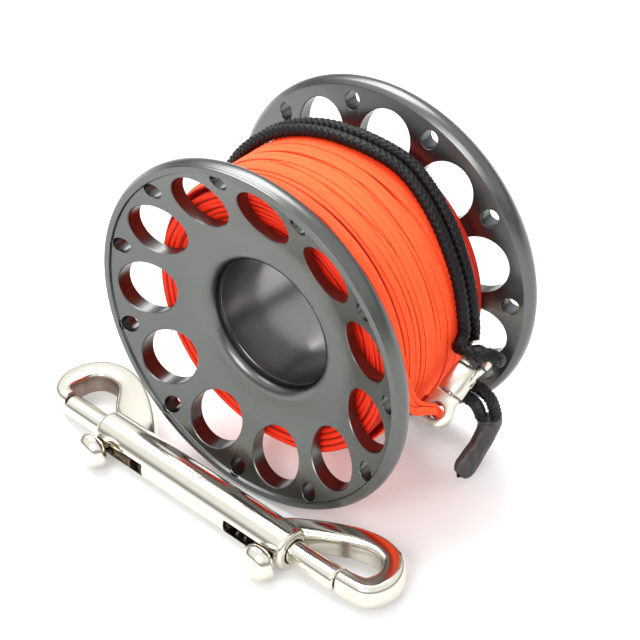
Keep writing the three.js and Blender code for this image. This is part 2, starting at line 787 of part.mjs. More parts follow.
for (const [side, word, nose] of [[-1, 'left', leftNose], [1, 'right', rightNose]]) {
  addMesh(snap, `snap_bolt_${word}`, boltGeometry(side, nose - clearance), polishedSteel);
  addMesh(snap, `snap_thumb_${word}`, thumbGeometry(side), polishedSteel);
  const spring = springStations(side);
  addMesh(snap, `snap_spring_${word}`, sweep(spring, ring(5)), springSteel);
  const gap = leastGap(spring, ring(5), 4 * springWire);
  console.log(`${word} spring: least gap to itself ${gap.toFixed(2)} mm`);
}

// The origin is the middle of the part's footprint, on the surface it stands on
group.updateMatrixWorld(true);
const whole = new THREE.Box3().setFromObject(group, true);
const middle = whole.getCenter(new THREE.Vector3());
spool.position.x -= middle.x;
spool.position.y -= middle.y;
spool.position.z -= whole.min.z;

export default group;
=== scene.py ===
import math

import bmesh
import bpy
import numpy as np
from mathutils import Matrix, Vector


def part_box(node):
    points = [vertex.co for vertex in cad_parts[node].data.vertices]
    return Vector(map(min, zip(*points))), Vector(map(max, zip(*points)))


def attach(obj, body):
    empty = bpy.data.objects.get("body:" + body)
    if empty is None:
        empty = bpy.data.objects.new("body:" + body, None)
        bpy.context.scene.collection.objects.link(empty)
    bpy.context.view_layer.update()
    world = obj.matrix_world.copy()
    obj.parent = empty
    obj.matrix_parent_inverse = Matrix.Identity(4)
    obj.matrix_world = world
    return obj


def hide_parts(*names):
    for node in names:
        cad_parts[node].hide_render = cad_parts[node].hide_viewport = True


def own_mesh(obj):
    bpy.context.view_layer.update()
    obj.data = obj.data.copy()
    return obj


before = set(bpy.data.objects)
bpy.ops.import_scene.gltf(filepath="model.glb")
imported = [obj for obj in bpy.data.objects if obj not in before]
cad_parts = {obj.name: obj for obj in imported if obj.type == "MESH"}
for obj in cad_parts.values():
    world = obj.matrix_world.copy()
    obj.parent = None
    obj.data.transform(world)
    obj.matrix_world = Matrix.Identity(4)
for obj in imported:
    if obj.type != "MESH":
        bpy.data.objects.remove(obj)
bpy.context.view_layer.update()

bl_info = {
    "name": "Finger spool",
    "version": (1, 0, 0),
    "blender": (4, 5, 0),
    "location": "View3D > Sidebar > Finger spool",
    "description": "Dresses the finger spool, its line, cord and two snaps",
    "category": "Object",
}

# Sizes of the solids, in millimetres. The spool's axis lies along Y, and y = 0 is the front
# web's outer side at its ring of large holes.
RIM_RADIUS = 38.5
BORE_RADIUS = 14.3
WEB_SPAN = 39.94
WEB_THICKNESS = 3.2
HOLE_CIRCLE = 0.75 * RIM_RADIUS
HOLE_RADIUS = 0.1595 * RIM_RADIUS
DRAIN_CIRCLE = 0.8945 * RIM_RADIUS
DRAIN_RADIUS = 0.0488 * RIM_RADIUS
HOLE_COUNT = 11
FIRST_HOLE = -26.6
OUTER_SLOPE = 0.377
INNER_SLOPE = 0.292
HUB_RECESS = 3.2
FLARE_RADIUS = 2.5
HUB_BLEND = 7.4
LIP_WIDTH = 1.35
LIP_HEIGHT = 0.62
GROOVE_DEPTH = 0.45
BEAD_REACH = 1.0
BEAD_CENTRE = 1.4
BEAD_HALF_WIDTH = 1.65
EDGE = 0.2
COLLAR_BORE = 16.6
COLLAR_RADIUS = 19.0
COLLAR_LENGTH = 4.0
SLEEVE_SEAT = 6.05
SLEEVE_RADIUS = 16.3
CLEARANCE = 0.3
CORE_RADIUS = 29.0
FRONT_PACK_GAP = 1.3
BAND_WIDTH = 4.4
BAND_THICKNESS = 1.1
BAND_PITCH = 4.85
BAND_RADIUS = 30.15
LAST_TURN = 9.0
WIDEN_TURN = 50.0
CORD_RADIUS = 1.25
CORD_CIRCLE = 32.45
STRAND_OFFSET = 1.56
LINK_SIDE_PLACE = (4.15, 0.3655, -10.9)
LINK_ALONG = (0.1122, 0.7773, 0.619)
LINK_FACE = (0.1478, -0.6291, 0.7631)
SNAP_PLACE = (-5.5, -12.6)
SNAP_YAW = -4.2
SNAP_BARREL_RADIUS = 4.5
SNAP_BARREL_END = 27.6
SNAP_BOLT_RADIUS = 2.5
SNAP_TRAVEL = 11.0
BORE_FLOOR = 2.6
BOLT_START = 18.4
THUMB_PLACE = 24.6
THUMB_STEM_RADIUS = 1.2
SPRING_WIRE = 0.6
SPRING_RADIUS = 1.9
SPRING_CURLS = 6

# Sides of round forms
SPOOL_STEPS = 264
HOLE_STEPS = 72
DRAIN_STEPS = 32
PACK_STEPS = 240
BARREL_STEPS = 96
CORD_STEPS = 30
SLEEVE_STEPS = 36
WIRE_STEPS = 12
CURL_STEPS = 28
TIP_STEPS = 16
STEM_STEPS = 40
EYE_HOLE_STEPS = 48
PIN_STEPS = 28
PIN_HOLE_STEPS = 32
TAPER_STEPS = 48
BOLT_STEPS = 64
THUMB_STEPS = 56
HOOK_STEPS = 44


def outer_face(r):
    """The web's outer side at a radius."""
    return OUTER_SLOPE * (HOLE_CIRCLE - r)


def inner_face(r):
    """The web's side towards the line."""
    return WEB_THICKNESS + INNER_SLOPE * (HOLE_CIRCLE - r)


def rear_side(r):
    """The line pack's side at the rear flange."""
    return WEB_SPAN - inner_face(r) - CLEARANCE


def beside(out, share, height):
    """A place beside the line pack, by how far out it lies and its share of the way to the rear."""
    return np.array([BAND_RADIUS + out, WEB_SPAN * share, height])


WIND_START = rear_side(CORE_RADIUS) - BAND_WIDTH / 2
WIND_END = inner_face(CORE_RADIUS) + FRONT_PACK_GAP + BAND_WIDTH / 2
WIND_TURNS = (WIND_START - WIND_END) / BAND_PITCH

# The spool's own frame, placed by the hub sleeve's solid
hub_low, hub_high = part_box("hub_sleeve")
SPOOL = Matrix.Translation((
    (hub_low.x + hub_high.x) / 2,
    hub_low.y - (SLEEVE_SEAT + CLEARANCE) / 1000,
    (hub_low.z + hub_high.z) / 2,
)) @ Matrix.Scale(0.001, 4)


def link_frame():
    """The small snap's frame: X to the gate's side, Y from eye to hook, Z out of its face."""
    along = Vector(LINK_ALONG).normalized()
    side = along.cross(Vector(LINK_FACE)).normalized()
    axes = Matrix((side, along, side.cross(along))).transposed().to_4x4()
    return Matrix.Translation(Vector(beside(*LINK_SIDE_PLACE))) @ axes


LINK_LOCAL = link_frame()
LINK = SPOOL @ LINK_LOCAL
SNAP = (
    SPOOL
    @ Matrix.Translation((SNAP_PLACE[0], SNAP_PLACE[1], SNAP_BARREL_RADIUS - RIM_RADIUS))
    @ Matrix.Rotation(math.radians(SNAP_YAW), 4, "Z")
)


# Settings that a user would change
def length(name, description, default):
    return bpy.props.FloatProperty(
        name=name, description=description, default=default, min=0.0, soft_max=50.0, unit="LENGTH",
    )


def colour(name, description, default):
    return bpy.props.FloatVectorProperty(
        name=name, description=description, default=default, size=3, min=0.0, max=1.0,
        subtype="COLOR",
    )


class SpoolSizes(bpy.types.PropertyGroup):
    """Sizes of the fine detail, in metres."""

    hole_edge: length("Hole edge", "Width of the broken edge round each hole", 0.00016)
    band_width: length("Band width", "Width of one turn of the line", 0.00468)
    band_crown: length("Band crown", "Height of the rounding across one turn", 0.00012)
    layer_pitch: length("Layer pitch", "Height of one layer of line in the pack's side", 0.00118)
    braid_pitch: length("Braid pitch", "Length of one crossing in the elastic cord", 0.0014)
    braid_relief: length("Braid relief", "Height of the cord's strands", 0.00032)
    weave_pitch: length("Weave pitch", "Length of one crossing in the line's weave", 0.00055)


class SpoolColours(bpy.types.PropertyGroup):
    """Colours of the finishes."""

    aluminium: colour("Aluminium", "Satin flanges", (0.128, 0.133, 0.129))
    bore: colour("Bore", "Inside of the hub", (0.235, 0.226, 0.228))
    line: colour("Line", "Bright orange line", (0.84, 0.102, 0.022))
    # Colour of the painted shade between the line's turns and on its edges
    line_painted_shade: colour("Line, deep", "The line between its turns", (0.34, 0.004, 0.002))
    cord: colour("Cord", "Elastic cord", (0.0035, 0.003, 0.0035))
    shrink: colour("Shrink tube", "Sleeve on the cord's ends", (0.038, 0.038, 0.036))
    steel: colour("Steel", "Polished steel", (0.73, 0.7, 0.615))
    # Spring wire darkened as painted shade, since it lies inside the barrel
    spring: colour("Spring", "Spring wire", (0.2, 0.19, 0.18))


class StageSettings(bpy.types.PropertyGroup):
    """Studio lights."""

    key_power: bpy.props.FloatProperty(
        name="Key light", description="Power of the large light overhead", default=6.0, unit="POWER",
    )
    fill_power: bpy.props.FloatProperty(
        name="Fill light", description="Power of the light by the camera", default=2.6, unit="POWER",
    )
    world_strength: bpy.props.FloatProperty(
        name="Surround", description="Strength of the pale surround", default=1.15,
    )


# Mesh helpers. Rings are arrays of points in millimetres.
GROOVE_WIDTH = 0.05


def circle(steps):
    turns = 2 * math.pi * np.arange(steps) / steps
    return np.stack([np.cos(turns), np.sin(turns)], axis=1)


def tape_section(steps, squareness):
    """A closed section with flat faces and rounded edges, in shares of half its size."""
    c = circle(steps)
    return np.sign(c) * np.abs(c) ** np.array([squareness, 0.62])


def band_section(places, depths, crown, top_steps=34):
    """Sections of a flat band with a rounded top and grooves along it, and how much painted shade each
    point carries.

    The places of the grooves and their depths are given for each station, in shares of half the
    band's width and of half its thickness.
    """
    even = np.linspace(-1, 1, top_steps + 1)
    top = np.sin(even * math.pi / 2) * 0.4 + even * 0.6
    low = np.linspace(1, -1, 8)[1:-1]
    edge = np.sqrt(1 - np.abs(top) ** 7)
    height = edge + crown * (1 - top**2)
    places, depths = (np.reshape(v, (len(v), -1, 1)) for v in (places, depths))
    cut = (np.exp(-(((top[None, None, :] - places) / GROOVE_WIDTH) ** 2)) * depths).sum(axis=1)
    heights = height - np.minimum(cut, 0.9) * edge
    n = len(heights)
    across = np.broadcast_to(np.concatenate([top, low]), (n, len(top) + len(low)))
    under = np.broadcast_to(-np.sqrt(1 - np.abs(low) ** 9), (n, len(low)))
    heights = np.concatenate([heights, under], axis=1)
    # Painted shade near the grooves, at the band's edges and all along its underside
    near = np.clip(cut * 2.2, 0, 1)
    rim = np.clip((np.abs(top) - 0.93) / 0.07, 0, 1)
    painted_shade = np.concatenate([np.maximum(near, rim), np.ones((n, len(low)))], axis=1)
    return np.stack([across, heights], axis=2), painted_shade


def lattice(rings, loop=False):
    """Points, faces and run coordinates of a closed surface through rings of equal size."""
    rings = np.asarray(rings, float)
    n, k, _ = rings.shape
    i = np.arange(n if loop else n - 1)[:, None]
    j = np.arange(k)[None, :]
    a = (i * k + j).ravel()
    b = (i * k + (j + 1) % k).ravel()
    c = (((i + 1) % n) * k + (j + 1) % k).ravel()
    d = (((i + 1) % n) * k + j).ravel()
    faces = np.stack([a, b, c, d], axis=1).tolist()
    steps = np.linalg.norm(np.diff(rings.mean(axis=1), axis=0), axis=1)
    along = np.concatenate([[0], np.cumsum(steps), [steps.sum() + steps.mean()]])
    u0, u1 = (np.broadcast_to(u / k, (len(i), k)).ravel() for u in (j, j + 1))
    v0, v1 = (np.repeat(along[v.ravel()], k) for v in (i, i + 1))
    runs = np.stack([u0, v0, u1, v0, u1, v1, u0, v1], axis=1).reshape(-1, 2)
    if not loop:
        faces.append(list(range(k - 1, -1, -1)))
        faces.append(list(range((n - 1) * k, n * k)))
        runs = np.concatenate([runs, np.zeros((2 * k, 2))])
    return rings.reshape(-1, 3), faces, runs


def volume(points, faces):
    """Six times the volume; it is negative when the faces look inwards."""
    total = 0.0
    for f in faces:
        a = points[f[0]]
        for p, q in zip(f[1:-1], f[2:]):
            total += np.dot(a, np.cross(points[p], points[q]))
    return total


def body_mesh(name, shape):
    """A Blender mesh, faces out, from points, faces and run coordinates."""
    points, faces, runs = shape
    if volume(points, faces) < 0:
        starts = np.cumsum([0] + [len(f) for f in faces])
        order = np.concatenate([np.arange(e - 1, s - 1, -1) for s, e in zip(starts, starts[1:])])
        runs = runs[order]
        faces = [f[::-1] for f in faces]
    mesh = bpy.data.meshes.new(name)
    mesh.from_pydata(points.tolist(), [], faces)
    layer = mesh.uv_layers.new(name="run")
    layer.data.foreach_set("uv", np.asarray(runs, np.float32).ravel())
    mesh.validate()
    return mesh


def turned(profile, steps, loop=False, along=1):
    """Rings of a profile of (radius, height) pairs about the axis with that index."""
    rings = []
    for radius, height in profile:
        columns = list((radius * circle(steps)).T)
        columns.insert(along, np.full(steps, height))
        rings.append(np.stack(columns, axis=1))
    return lattice(rings, loop)


def unit(v):
    return v / np.linalg.norm(v)


def run_along(points):
    """The length of a line up to each of its points."""
    return np.concatenate([[0], np.cumsum(np.linalg.norm(np.diff(points, axis=0), axis=1))])


def swept(centres, section, wide, thick, ups):
    """Rings of a section along centres; ups holds the thickness direction where one is given."""
    centres = np.asarray(centres, float)
    wide = np.broadcast_to(wide, len(centres))
    thick = np.broadcast_to(thick, len(centres))
    rings, up = [], None
    for i, at in enumerate(centres):
        along = unit(centres[min(i + 1, len(centres) - 1)] - centres[max(i - 1, 0)])
        up = np.array(ups.get(i, up), float)
        up = unit(up - along * np.dot(up, along))
        across = np.cross(up, along)
        shape = section if section.ndim == 2 else section[i]
        rings.append(
            at + np.outer(shape[:, 0] * wide[i] / 2, across) + np.outer(shape[:, 1] * thick[i] / 2, up)
        )
    return np.array(rings)


def curve_through(places, samples=12, centripetal=True):
    """A smooth curve through the places, sampled evenly between each two, with a place number."""
    p = np.asarray(places, float)
    out, number = [], []
    for i in range(len(p) - 1):
        p1, p2 = p[i], p[i + 1]
        p0 = p[i - 1] if i else 2 * p1 - p2
        p3 = p[i + 2] if i + 2 < len(p) else 2 * p2 - p1
        if not centripetal:
            p0 = p[max(i - 1, 0)]
            p3 = p[min(i + 2, len(p) - 1)]
            m1, m2 = (p2 - p0) / 2, (p3 - p1) / 2
        else:
            pairs = ((p0, p1), (p1, p2), (p2, p3))
            t0, t1, t2 = (max(np.linalg.norm(b - a), 1e-6) ** 0.5 for a, b in pairs)
            m1 = ((p1 - p0) / t0 - (p2 - p0) / (t0 + t1) + (p2 - p1) / t1) * t1
            m2 = ((p2 - p1) / t1 - (p3 - p1) / (t1 + t2) + (p3 - p2) / t2) * t1
        t = np.linspace(0, 1, samples, endpoint=False)[:, None]
        out.append(
            (2 * t**3 - 3 * t**2 + 1) * p1 + (t**3 - 2 * t**2 + t) * m1
            + (3 * t**2 - 2 * t**3) * p2 + (t**3 - t**2) * m2
        )
        number.append(i + t[:, 0])
    out.append(p[-1:])
    number.append([len(p) - 1])
    return np.concatenate(out), np.concatenate(number)


def evenly(points, step):
    """Points at even steps along a line."""
    run = run_along(points)
    at = np.linspace(0, run[-1], max(2, int(round(run[-1] / step)) + 1))
    return np.stack([np.interp(at, run, column) for column in points.T], axis=1)


def arc(centre, radius, start, end, steps):
    """Places along an arc, from its start to its end in degrees."""
    turns = np.radians(np.linspace(start, end, steps))
    return [(centre[0] + radius * math.cos(t), centre[1] + radius * math.sin(t)) for t in turns]


def rounded(corners, radius, steps=4):
    """A profile whose inner corners are rounded; its two ends stay as they are."""
    corners = [np.array(c, float) for c in corners]
    out = [corners[0]]
    for before, at, after in zip(corners, corners[1:], corners[2:]):
        reach = min(radius, np.linalg.norm(at - before) * 0.45, np.linalg.norm(after - at) * 0.45)
        a, b = at + unit(before - at) * reach, at + unit(after - at) * reach
        for i in range(steps + 1):
            t = i / steps
            out.append((1 - t) ** 2 * a + 2 * t * (1 - t) * at + t**2 * b)
    out.append(corners[-1])
    return out


def faults(mesh):
    """Counts the edges that keep a mesh from being one closed body."""
    shape = bmesh.new()
    shape.from_mesh(mesh)
    count = sum(not edge.is_manifold or not edge.is_contiguous for edge in shape.edges)
    shape.free()
    return count


def placed(name, data):
    """A new object in the scene."""
    obj = bpy.data.objects.new(name, data)
    bpy.context.scene.collection.objects.link(obj)
    return obj


def carved(base, tools, operation="DIFFERENCE"):
    """The base with each tool cut from it, or joined to it; all are meshes or shapes."""
    base, *tools = (t if isinstance(t, bpy.types.Mesh) else body_mesh("tool", t) for t in (base, *tools))
    body = placed("carved", base)
    helpers = [placed("tool", tool) for tool in tools]
    for helper in helpers:
        cut = body.modifiers.new("cut", "BOOLEAN")
        cut.operation = operation
        cut.solver = "MANIFOLD"
        cut.object = helper
    bpy.context.view_layer.update()
    graph = bpy.context.evaluated_depsgraph_get()
    result = bpy.data.meshes.new_from_object(body.evaluated_get(graph))
    for helper in [body, *helpers]:
        bpy.data.objects.remove(helper)
    if len(result.polygons) in (0, len(base.polygons)):
        raise RuntimeError(f"can't carve, open edges: {faults(base)}, {[faults(t) for t in tools]}")
    return result


def piece(name, shape, place, body, nodes, material, sharp=32.0, painted_shade=None):
    """Makes a piece that rides on a body and stands for its CAD nodes.

    The optional values tell the material how much painted shade each point carries, from 0 to 1.
    """
    mesh = shape if isinstance(shape, bpy.types.Mesh) else body_mesh(name, shape)
    if painted_shade is not None:
        layer = mesh.attributes.new("painted_shade", "FLOAT", "POINT")
        layer.data.foreach_set("value", np.asarray(painted_shade, np.float32).ravel())
    mesh.name = name
    mesh.transform(place)
    mesh.shade_smooth()
    mesh.set_sharp_from_angle(angle=math.radians(sharp))
    mesh.materials.clear()
    mesh.materials.append(material)
    mesh.update()
    obj = placed(name, mesh)
    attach(obj, body)
    if nodes:
        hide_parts(*nodes)
    return obj


# Materials
class Finish:
    """A node material with its shader and a few short ways to add nodes."""

    def __init__(self, name, color, roughness, metallic=0.0):
        self.material = bpy.data.materials.new(name)
        self.material.use_nodes = True
        self.tree = self.material.node_tree
        self.shader = self.tree.nodes["Principled BSDF"]
        self.put("Base Color", (*color, 1.0))
        self.put("Roughness", roughness)
        self.put("Metallic", metallic)

    def put(self, socket, value):
        self.shader.inputs[socket].default_value = value

    def link(self, output, socket):
        self.tree.links.new(output, self.shader.inputs[socket])

    def add(self, kind, inputs=None, **settings):
        """A new node with its settings, and with values or other nodes' outputs on its inputs."""
        node = self.tree.nodes.new(kind)
        for key, value in settings.items():
            setattr(node, key, value)
        for key, value in (inputs or {}).items():
            if isinstance(value, bpy.types.NodeSocket):
                self.tree.links.new(value, node.inputs[key])
            else:
                node.inputs[key].default_value = value
        return node

    def math(self, operation, a, b=0.0, clamp=False):
        node = self.add("ShaderNodeMath", {0: a, 1: b}, operation=operation, use_clamp=clamp)
        return node.outputs[0]

    def times(self, a, b, clamp=False):
        return self.math("MULTIPLY", a, b, clamp)

    def plus(self, a, b):
        return self.math("ADD", a, b)

    def place(self, scale=(1.0, 1.0, 1.0)):
        """The surface's own place in metres, stretched by the scale."""
        coords = self.add("ShaderNodeTexCoord")
        mapping = self.add("ShaderNodeMapping", {"Vector": coords.outputs["Object"], "Scale": scale})
        return mapping.outputs[0]

    def noise(self, vector, scale, detail=3.0, roughness=0.55):
        node = self.add("ShaderNodeTexNoise", {
            "Vector": vector, "Scale": scale, "Detail": detail, "Roughness": roughness,
        })
        return node.outputs["Fac"]

    def ramp(self, value, low, high, start=0.0, end=1.0):
        """Maps a value from start..end to low..high."""
        node = self.add("ShaderNodeMapRange", {
            "Value": value, "From Min": start, "From Max": end, "To Min": low, "To Max": high,
        })
        return node.outputs[0]

    def blend(self, factor, first, second):
        """A colour from the first to the second; each is a colour or another node's output."""
        first, second = (
            c if isinstance(c, bpy.types.NodeSocket) else (*c, 1.0) for c in (first, second)
        )
        node = self.add("ShaderNodeMix", {0: factor, 6: first, 7: second}, data_type="RGBA")
        return node.outputs[2]

    def bump(self, height, strength, distance):
        node = self.add("ShaderNodeBump", {"Height": height, "Strength": strength, "Distance": distance})
        self.link(node.outputs[0], "Normal")

    def run(self):
        """Around and along coordinates of a swept piece: shares of a turn, and millimetres."""
        coords = self.add("ShaderNodeUVMap", uv_map="run")
        split = self.add("ShaderNodeSeparateXYZ", {"Vector": coords.outputs[0]})
        return split.outputs[0], split.outputs[1]


def grooves(f):
    """How much painted shade lies on a point, from 0 to 1: in the line's grooves and edges, and where the
    bolt snap is hidden or turned inwards.
    """
    return f.add("ShaderNodeAttribute", attribute_name="painted_shade").outputs["Fac"]


def tint(color, share):
    return tuple(min(c * share, 1.0) for c in color)


def satin_aluminium(name, color):
    """Bead-blasted and anodised aluminium, slightly uneven."""
    f = Finish(name, color, 0.3, 1.0)
    at = f.place()
    broad = f.noise(at, 60.0)
    grain = f.noise(at, 5200.0, 2.0)
    f.link(f.blend(broad, tint(color, 0.9), tint(color, 1.1)), "Base Color")
    f.link(f.plus(f.ramp(broad, 0.26, 0.32), f.ramp(grain, -0.015, 0.015)), "Roughness")
    f.bump(grain, 0.06, 0.00002)
    return f.material


def turned_aluminium(name, color):
    """Anodised aluminium with the fine lines of a lathe round the bore."""
    f = Finish(name, color, 0.3, 0.95)
    lines = f.noise(f.place((60.0, 9000.0, 60.0)), 1.0, 2.0)
    broad = f.noise(f.place(), 90.0)
    f.link(f.blend(broad, tint(color, 0.8), tint(color, 1.15)), "Base Color")
    f.link(f.ramp(lines, 0.18, 0.27), "Roughness")
    f.bump(lines, 0.05, 0.00002)
    return f.material


# The bright part of the line pack along the spool's axis, in metres: towards both ends, by the flanges, it
# takes a redder painted shade
LIT_MIDDLE = 0.0165
LIT_REACH = 0.013
# Threads round one turn of line, and fibres round the cord
THREADS = 30
FIBRES = 24


def woven_line(name, color, painted_shade, pitch):
    """Flat braid of bright line: a fine weave, soft streaks, painted shade on its edges and towards both
    flanges, and a painted glow.
    """
    f = Finish(name, color, 0.75)
    around, along = f.run()
    across = f.times(around, 2 * math.pi * THREADS)
    run = f.times(along, 2 * math.pi / (pitch * 1000))
    weave = f.times(*(f.math("SINE", f.math(way, run, across)) for way in ("ADD", "SUBTRACT")))
    streaks = f.noise(f.place((1.0, 5.0, 1.0)), 420.0, 3.0)
    speckle = f.noise(f.place(), 2400.0, 2.0)
    shade = f.plus(f.times(streaks, 0.6), f.times(speckle, 0.4))
    shade = f.math("SUBTRACT", f.times(shade, 2.0), 0.5, clamp=True)
    pale = tuple(min(c * k, 1.0) for c, k in zip(color, (1.0, 1.4, 1.6)))
    body = f.blend(shade, tint(color, 0.74), pale)
    # Painted shade: the line turns a darker, redder colour towards both flanges
    axis = f.add("ShaderNodeSeparateXYZ", {"Vector": f.place()}).outputs[1]
    middle = SPOOL.translation.y + LIT_MIDDLE
    off = f.math("DIVIDE", f.math("ABSOLUTE", f.math("SUBTRACT", axis, middle)), LIT_REACH)
    painted_shade_red = f.times(f.math("POWER", off, 3.0), 0.8, clamp=True)
    body = f.blend(painted_shade_red, body, (color[0], color[1] * 0.36, color[2] * 0.3))
    # Painted shade in the grooves between turns, on the band's edges and under it
    f.link(f.blend(grooves(f), body, painted_shade), "Base Color")
    f.link(f.ramp(weave, 0.68, 0.82), "Roughness")
    f.bump(f.plus(f.times(weave, 0.5), speckle), 0.45, 0.00008)
    f.put("Specular IOR Level", 0.3)
    # Painted glow over the whole line, fainter in its painted shade
    f.put("Emission Color", (1.0, 0.022, 0.002, 1.0))
    f.link(f.ramp(grooves(f), 0.42, 0.02), "Emission Strength")
    return f.material


def packed_line(name, color, painted_shade):
    """The side of the line pack: strands in a darker, redder painted shade, lighter and darker in streaks,
    and with more painted shade between them.
    """
    f = Finish(name, color, 0.8)
    streaks = f.noise(f.place((1.0, 3.0, 1.0)), 300.0, 3.0)
    # Painted shade: the pack's side is a darker, redder copy of the line
    painted_shade_red = (color[0], color[1] * 0.42, color[2] * 0.5)
    strands = f.blend(streaks, tint(painted_shade_red, 0.66), tint(painted_shade_red, 1.05))
    # More painted shade between the strands
    f.link(f.blend(grooves(f), strands, tint(painted_shade, 0.5)), "Base Color")
    f.bump(f.noise(f.place(), 2600.0, 2.0), 0.4, 0.00008)
    f.put("Specular IOR Level", 0.3)
    # Painted glow over the pack's side, fainter in its painted shade
    f.put("Emission Color", (1.0, 0.012, 0.002, 1.0))
    f.link(f.ramp(grooves(f), 0.36, 0.02), "Emission Strength")
    return f.material


def braided_cord(name, color):
    """Black braid with fine fibres along each strand."""
    f = Finish(name, color, 0.4)
    around, along = f.run()
    turns = f.times(around, 2 * math.pi * FIBRES)
    fibres = f.math("SINE", f.plus(turns, f.times(along, 9.0)))
    fuzz = f.noise(f.place(), 2500.0, 2.0)
    f.link(f.blend(fuzz, tint(color, 0.6), tint(color, 2.2)), "Base Color")
    f.link(f.ramp(fuzz, 0.3, 0.5), "Roughness")
    f.bump(f.plus(f.times(fibres, 0.5), fuzz), 0.4, 0.00005)
    f.put("Specular IOR Level", 0.2)
    return f.material


def shrink_tube(name, color):
    """Shrunk polymer tube: soft gloss over what it grips, a little dusty."""
    f = Finish(name, color, 0.4)
    dust = f.noise(f.place(), 700.0, 4.0)
    f.link(f.blend(dust, tint(color, 0.7), tint(color, 1.7)), "Base Color")
    f.link(f.ramp(dust, 0.3, 0.5), "Roughness")
    f.bump(f.noise(f.place((1.0, 1.0, 0.6)), 520.0, 3.0), 0.6, 0.0004)
    return f.material


# Colour of the painted shade on steel that is hidden in the barrel or turned into a hook
PAINTED_SHADE_BROWN = (0.3, 0.235, 0.2)


def polished_steel(name, color, roughness):
    """Polished stainless steel with hairline scratches, and a brown, rougher painted shade where a piece
    marks it.
    """
    f = Finish(name, color, roughness, 1.0)
    scratches = f.noise(f.place((900.0, 90.0, 900.0)), 6.0, 4.0, 0.7)
    swell = f.noise(f.place(), 160.0, 2.0)
    clean = f.blend(swell, tint(color, 0.94), tint(color, 1.03))
    # Painted shade, brown and rougher, where a piece marks it
    painted_shadow = grooves(f)
    f.link(f.blend(painted_shadow, clean, PAINTED_SHADE_BROWN), "Base Color")
    polish = f.ramp(scratches, roughness * 0.6, roughness * 1.6)
    f.link(f.plus(polish, f.times(painted_shadow, 0.3)), "Roughness")
    f.bump(f.plus(f.times(scratches, 0.1), swell), 0.06, 0.00004)
    return f.material


# Flanges
PROFILE_STEPS = 12
BEAD_STEPS = 14
BEAD_TURNS = (-54, 62)


def flange_profile():
    """Half a section through a flange, as a closed loop of radius and depth."""
    start = BORE_RADIUS + FLARE_RADIUS
    corner = HOLE_CIRCLE - HUB_RECESS / OUTER_SLOPE
    end = start + HUB_BLEND
    points = arc((start, HUB_RECESS + FLARE_RADIUS), FLARE_RADIUS, 180, 270, PROFILE_STEPS + 1)
    for i in range(PROFILE_STEPS):
        t = (i + 1) / PROFILE_STEPS
        points.append((
            (1 - t) ** 2 * start + 2 * t * (1 - t) * corner + t**2 * end,
            (1 - t**2) * HUB_RECESS + t**2 * outer_face(end),
        ))
    outer = RIM_RADIUS - BEAD_REACH + EDGE
    inner = outer - LIP_WIDTH
    top = outer_face(inner) - LIP_HEIGHT
    lip = [
        points[-1],
        (inner - EDGE, outer_face(inner - EDGE)),
        (inner, top),
        (outer, top),
        (outer + EDGE, top + GROOVE_DEPTH),
        (outer + EDGE * 1.4, top + GROOVE_DEPTH),
    ]
    points += [tuple(p) for p in rounded(lip, 0.13)[1:]]
    points += [
        (RIM_RADIUS - BEAD_REACH + BEAD_REACH * x, BEAD_HALF_WIDTH * y - BEAD_CENTRE)
        for x, y in arc((0, 0), 1, *BEAD_TURNS, BEAD_STEPS + 1)
    ]
    edge = RIM_RADIUS - BEAD_REACH - EDGE
    collar_end = inner_face(COLLAR_RADIUS) + COLLAR_LENGTH
    back = [
        points[-1],
        (edge, inner_face(edge)),
        (COLLAR_RADIUS, inner_face(COLLAR_RADIUS)),
        (COLLAR_RADIUS, collar_end),
        (COLLAR_BORE, collar_end),
        (COLLAR_BORE, SLEEVE_SEAT),
        (BORE_RADIUS, SLEEVE_SEAT),
        points[0],
    ]
    points += [tuple(p) for p in rounded(back, 0.15, 2)[1:-1]]
    return points


def hole_cutter(ring, radius, turn, steps, edge):
    """A round cutter that also breaks the hole's edge at both faces of the web."""
    c = circle(steps)
    centre = np.array([ring * math.sin(turn), ring * math.cos(turn)])

    def level(r, face, offset):
        flat = centre + r * c
        depth = face(np.linalg.norm(flat, axis=1)) + offset
        return np.stack([flat[:, 0], depth, flat[:, 1]], axis=1)

    wide = radius + 2 * edge
    far = [level(wide, lambda r: np.full(steps, y), 0.0) for y in (-12.0, 16.0)]
    return lattice([
        far[0],
        level(wide, outer_face, -edge),
        level(radius, outer_face, edge),
        level(radius, inner_face, -edge),
        level(wide, inner_face, edge),
        far[1],
    ])


def flange_mesh(first_turn, edge):
    tools = []
    for i in range(HOLE_COUNT):
        turn = math.radians(first_turn + 360 / HOLE_COUNT * i)
        tools.append(hole_cutter(HOLE_CIRCLE, HOLE_RADIUS, turn, HOLE_STEPS, edge))
        turn += math.pi / HOLE_COUNT
        tools.append(hole_cutter(DRAIN_CIRCLE, DRAIN_RADIUS, turn, DRAIN_STEPS, edge / 3))
    return carved(turned(flange_profile(), SPOOL_STEPS, loop=True), tools)


class SPOOL_OT_flanges(bpy.types.Operator):
    """Two dished flanges with a flared bore, two rings of holes and a rolled rim"""

    bl_idname = "spool.flanges"
    bl_label = "Flanges"

    def execute(self, context):
        sizes, colours = context.scene.spool_sizes, context.scene.spool_colours
        material = satin_aluminium("satin aluminium", colours.aluminium)
        edge = sizes.hole_edge * 1000
        turned_about = Matrix.Translation((0, WEB_SPAN, 0)) @ Matrix.Rotation(math.pi, 4, "Z")
        for word, first, place in (
            ("front", FIRST_HOLE, SPOOL), ("rear", -FIRST_HOLE, SPOOL @ turned_about),
        ):
            piece(
                f"flange_{word}_fine", flange_mesh(first, edge), place, "spool",
                [f"flange_{word}"], material,
            )
        return {"FINISHED"}


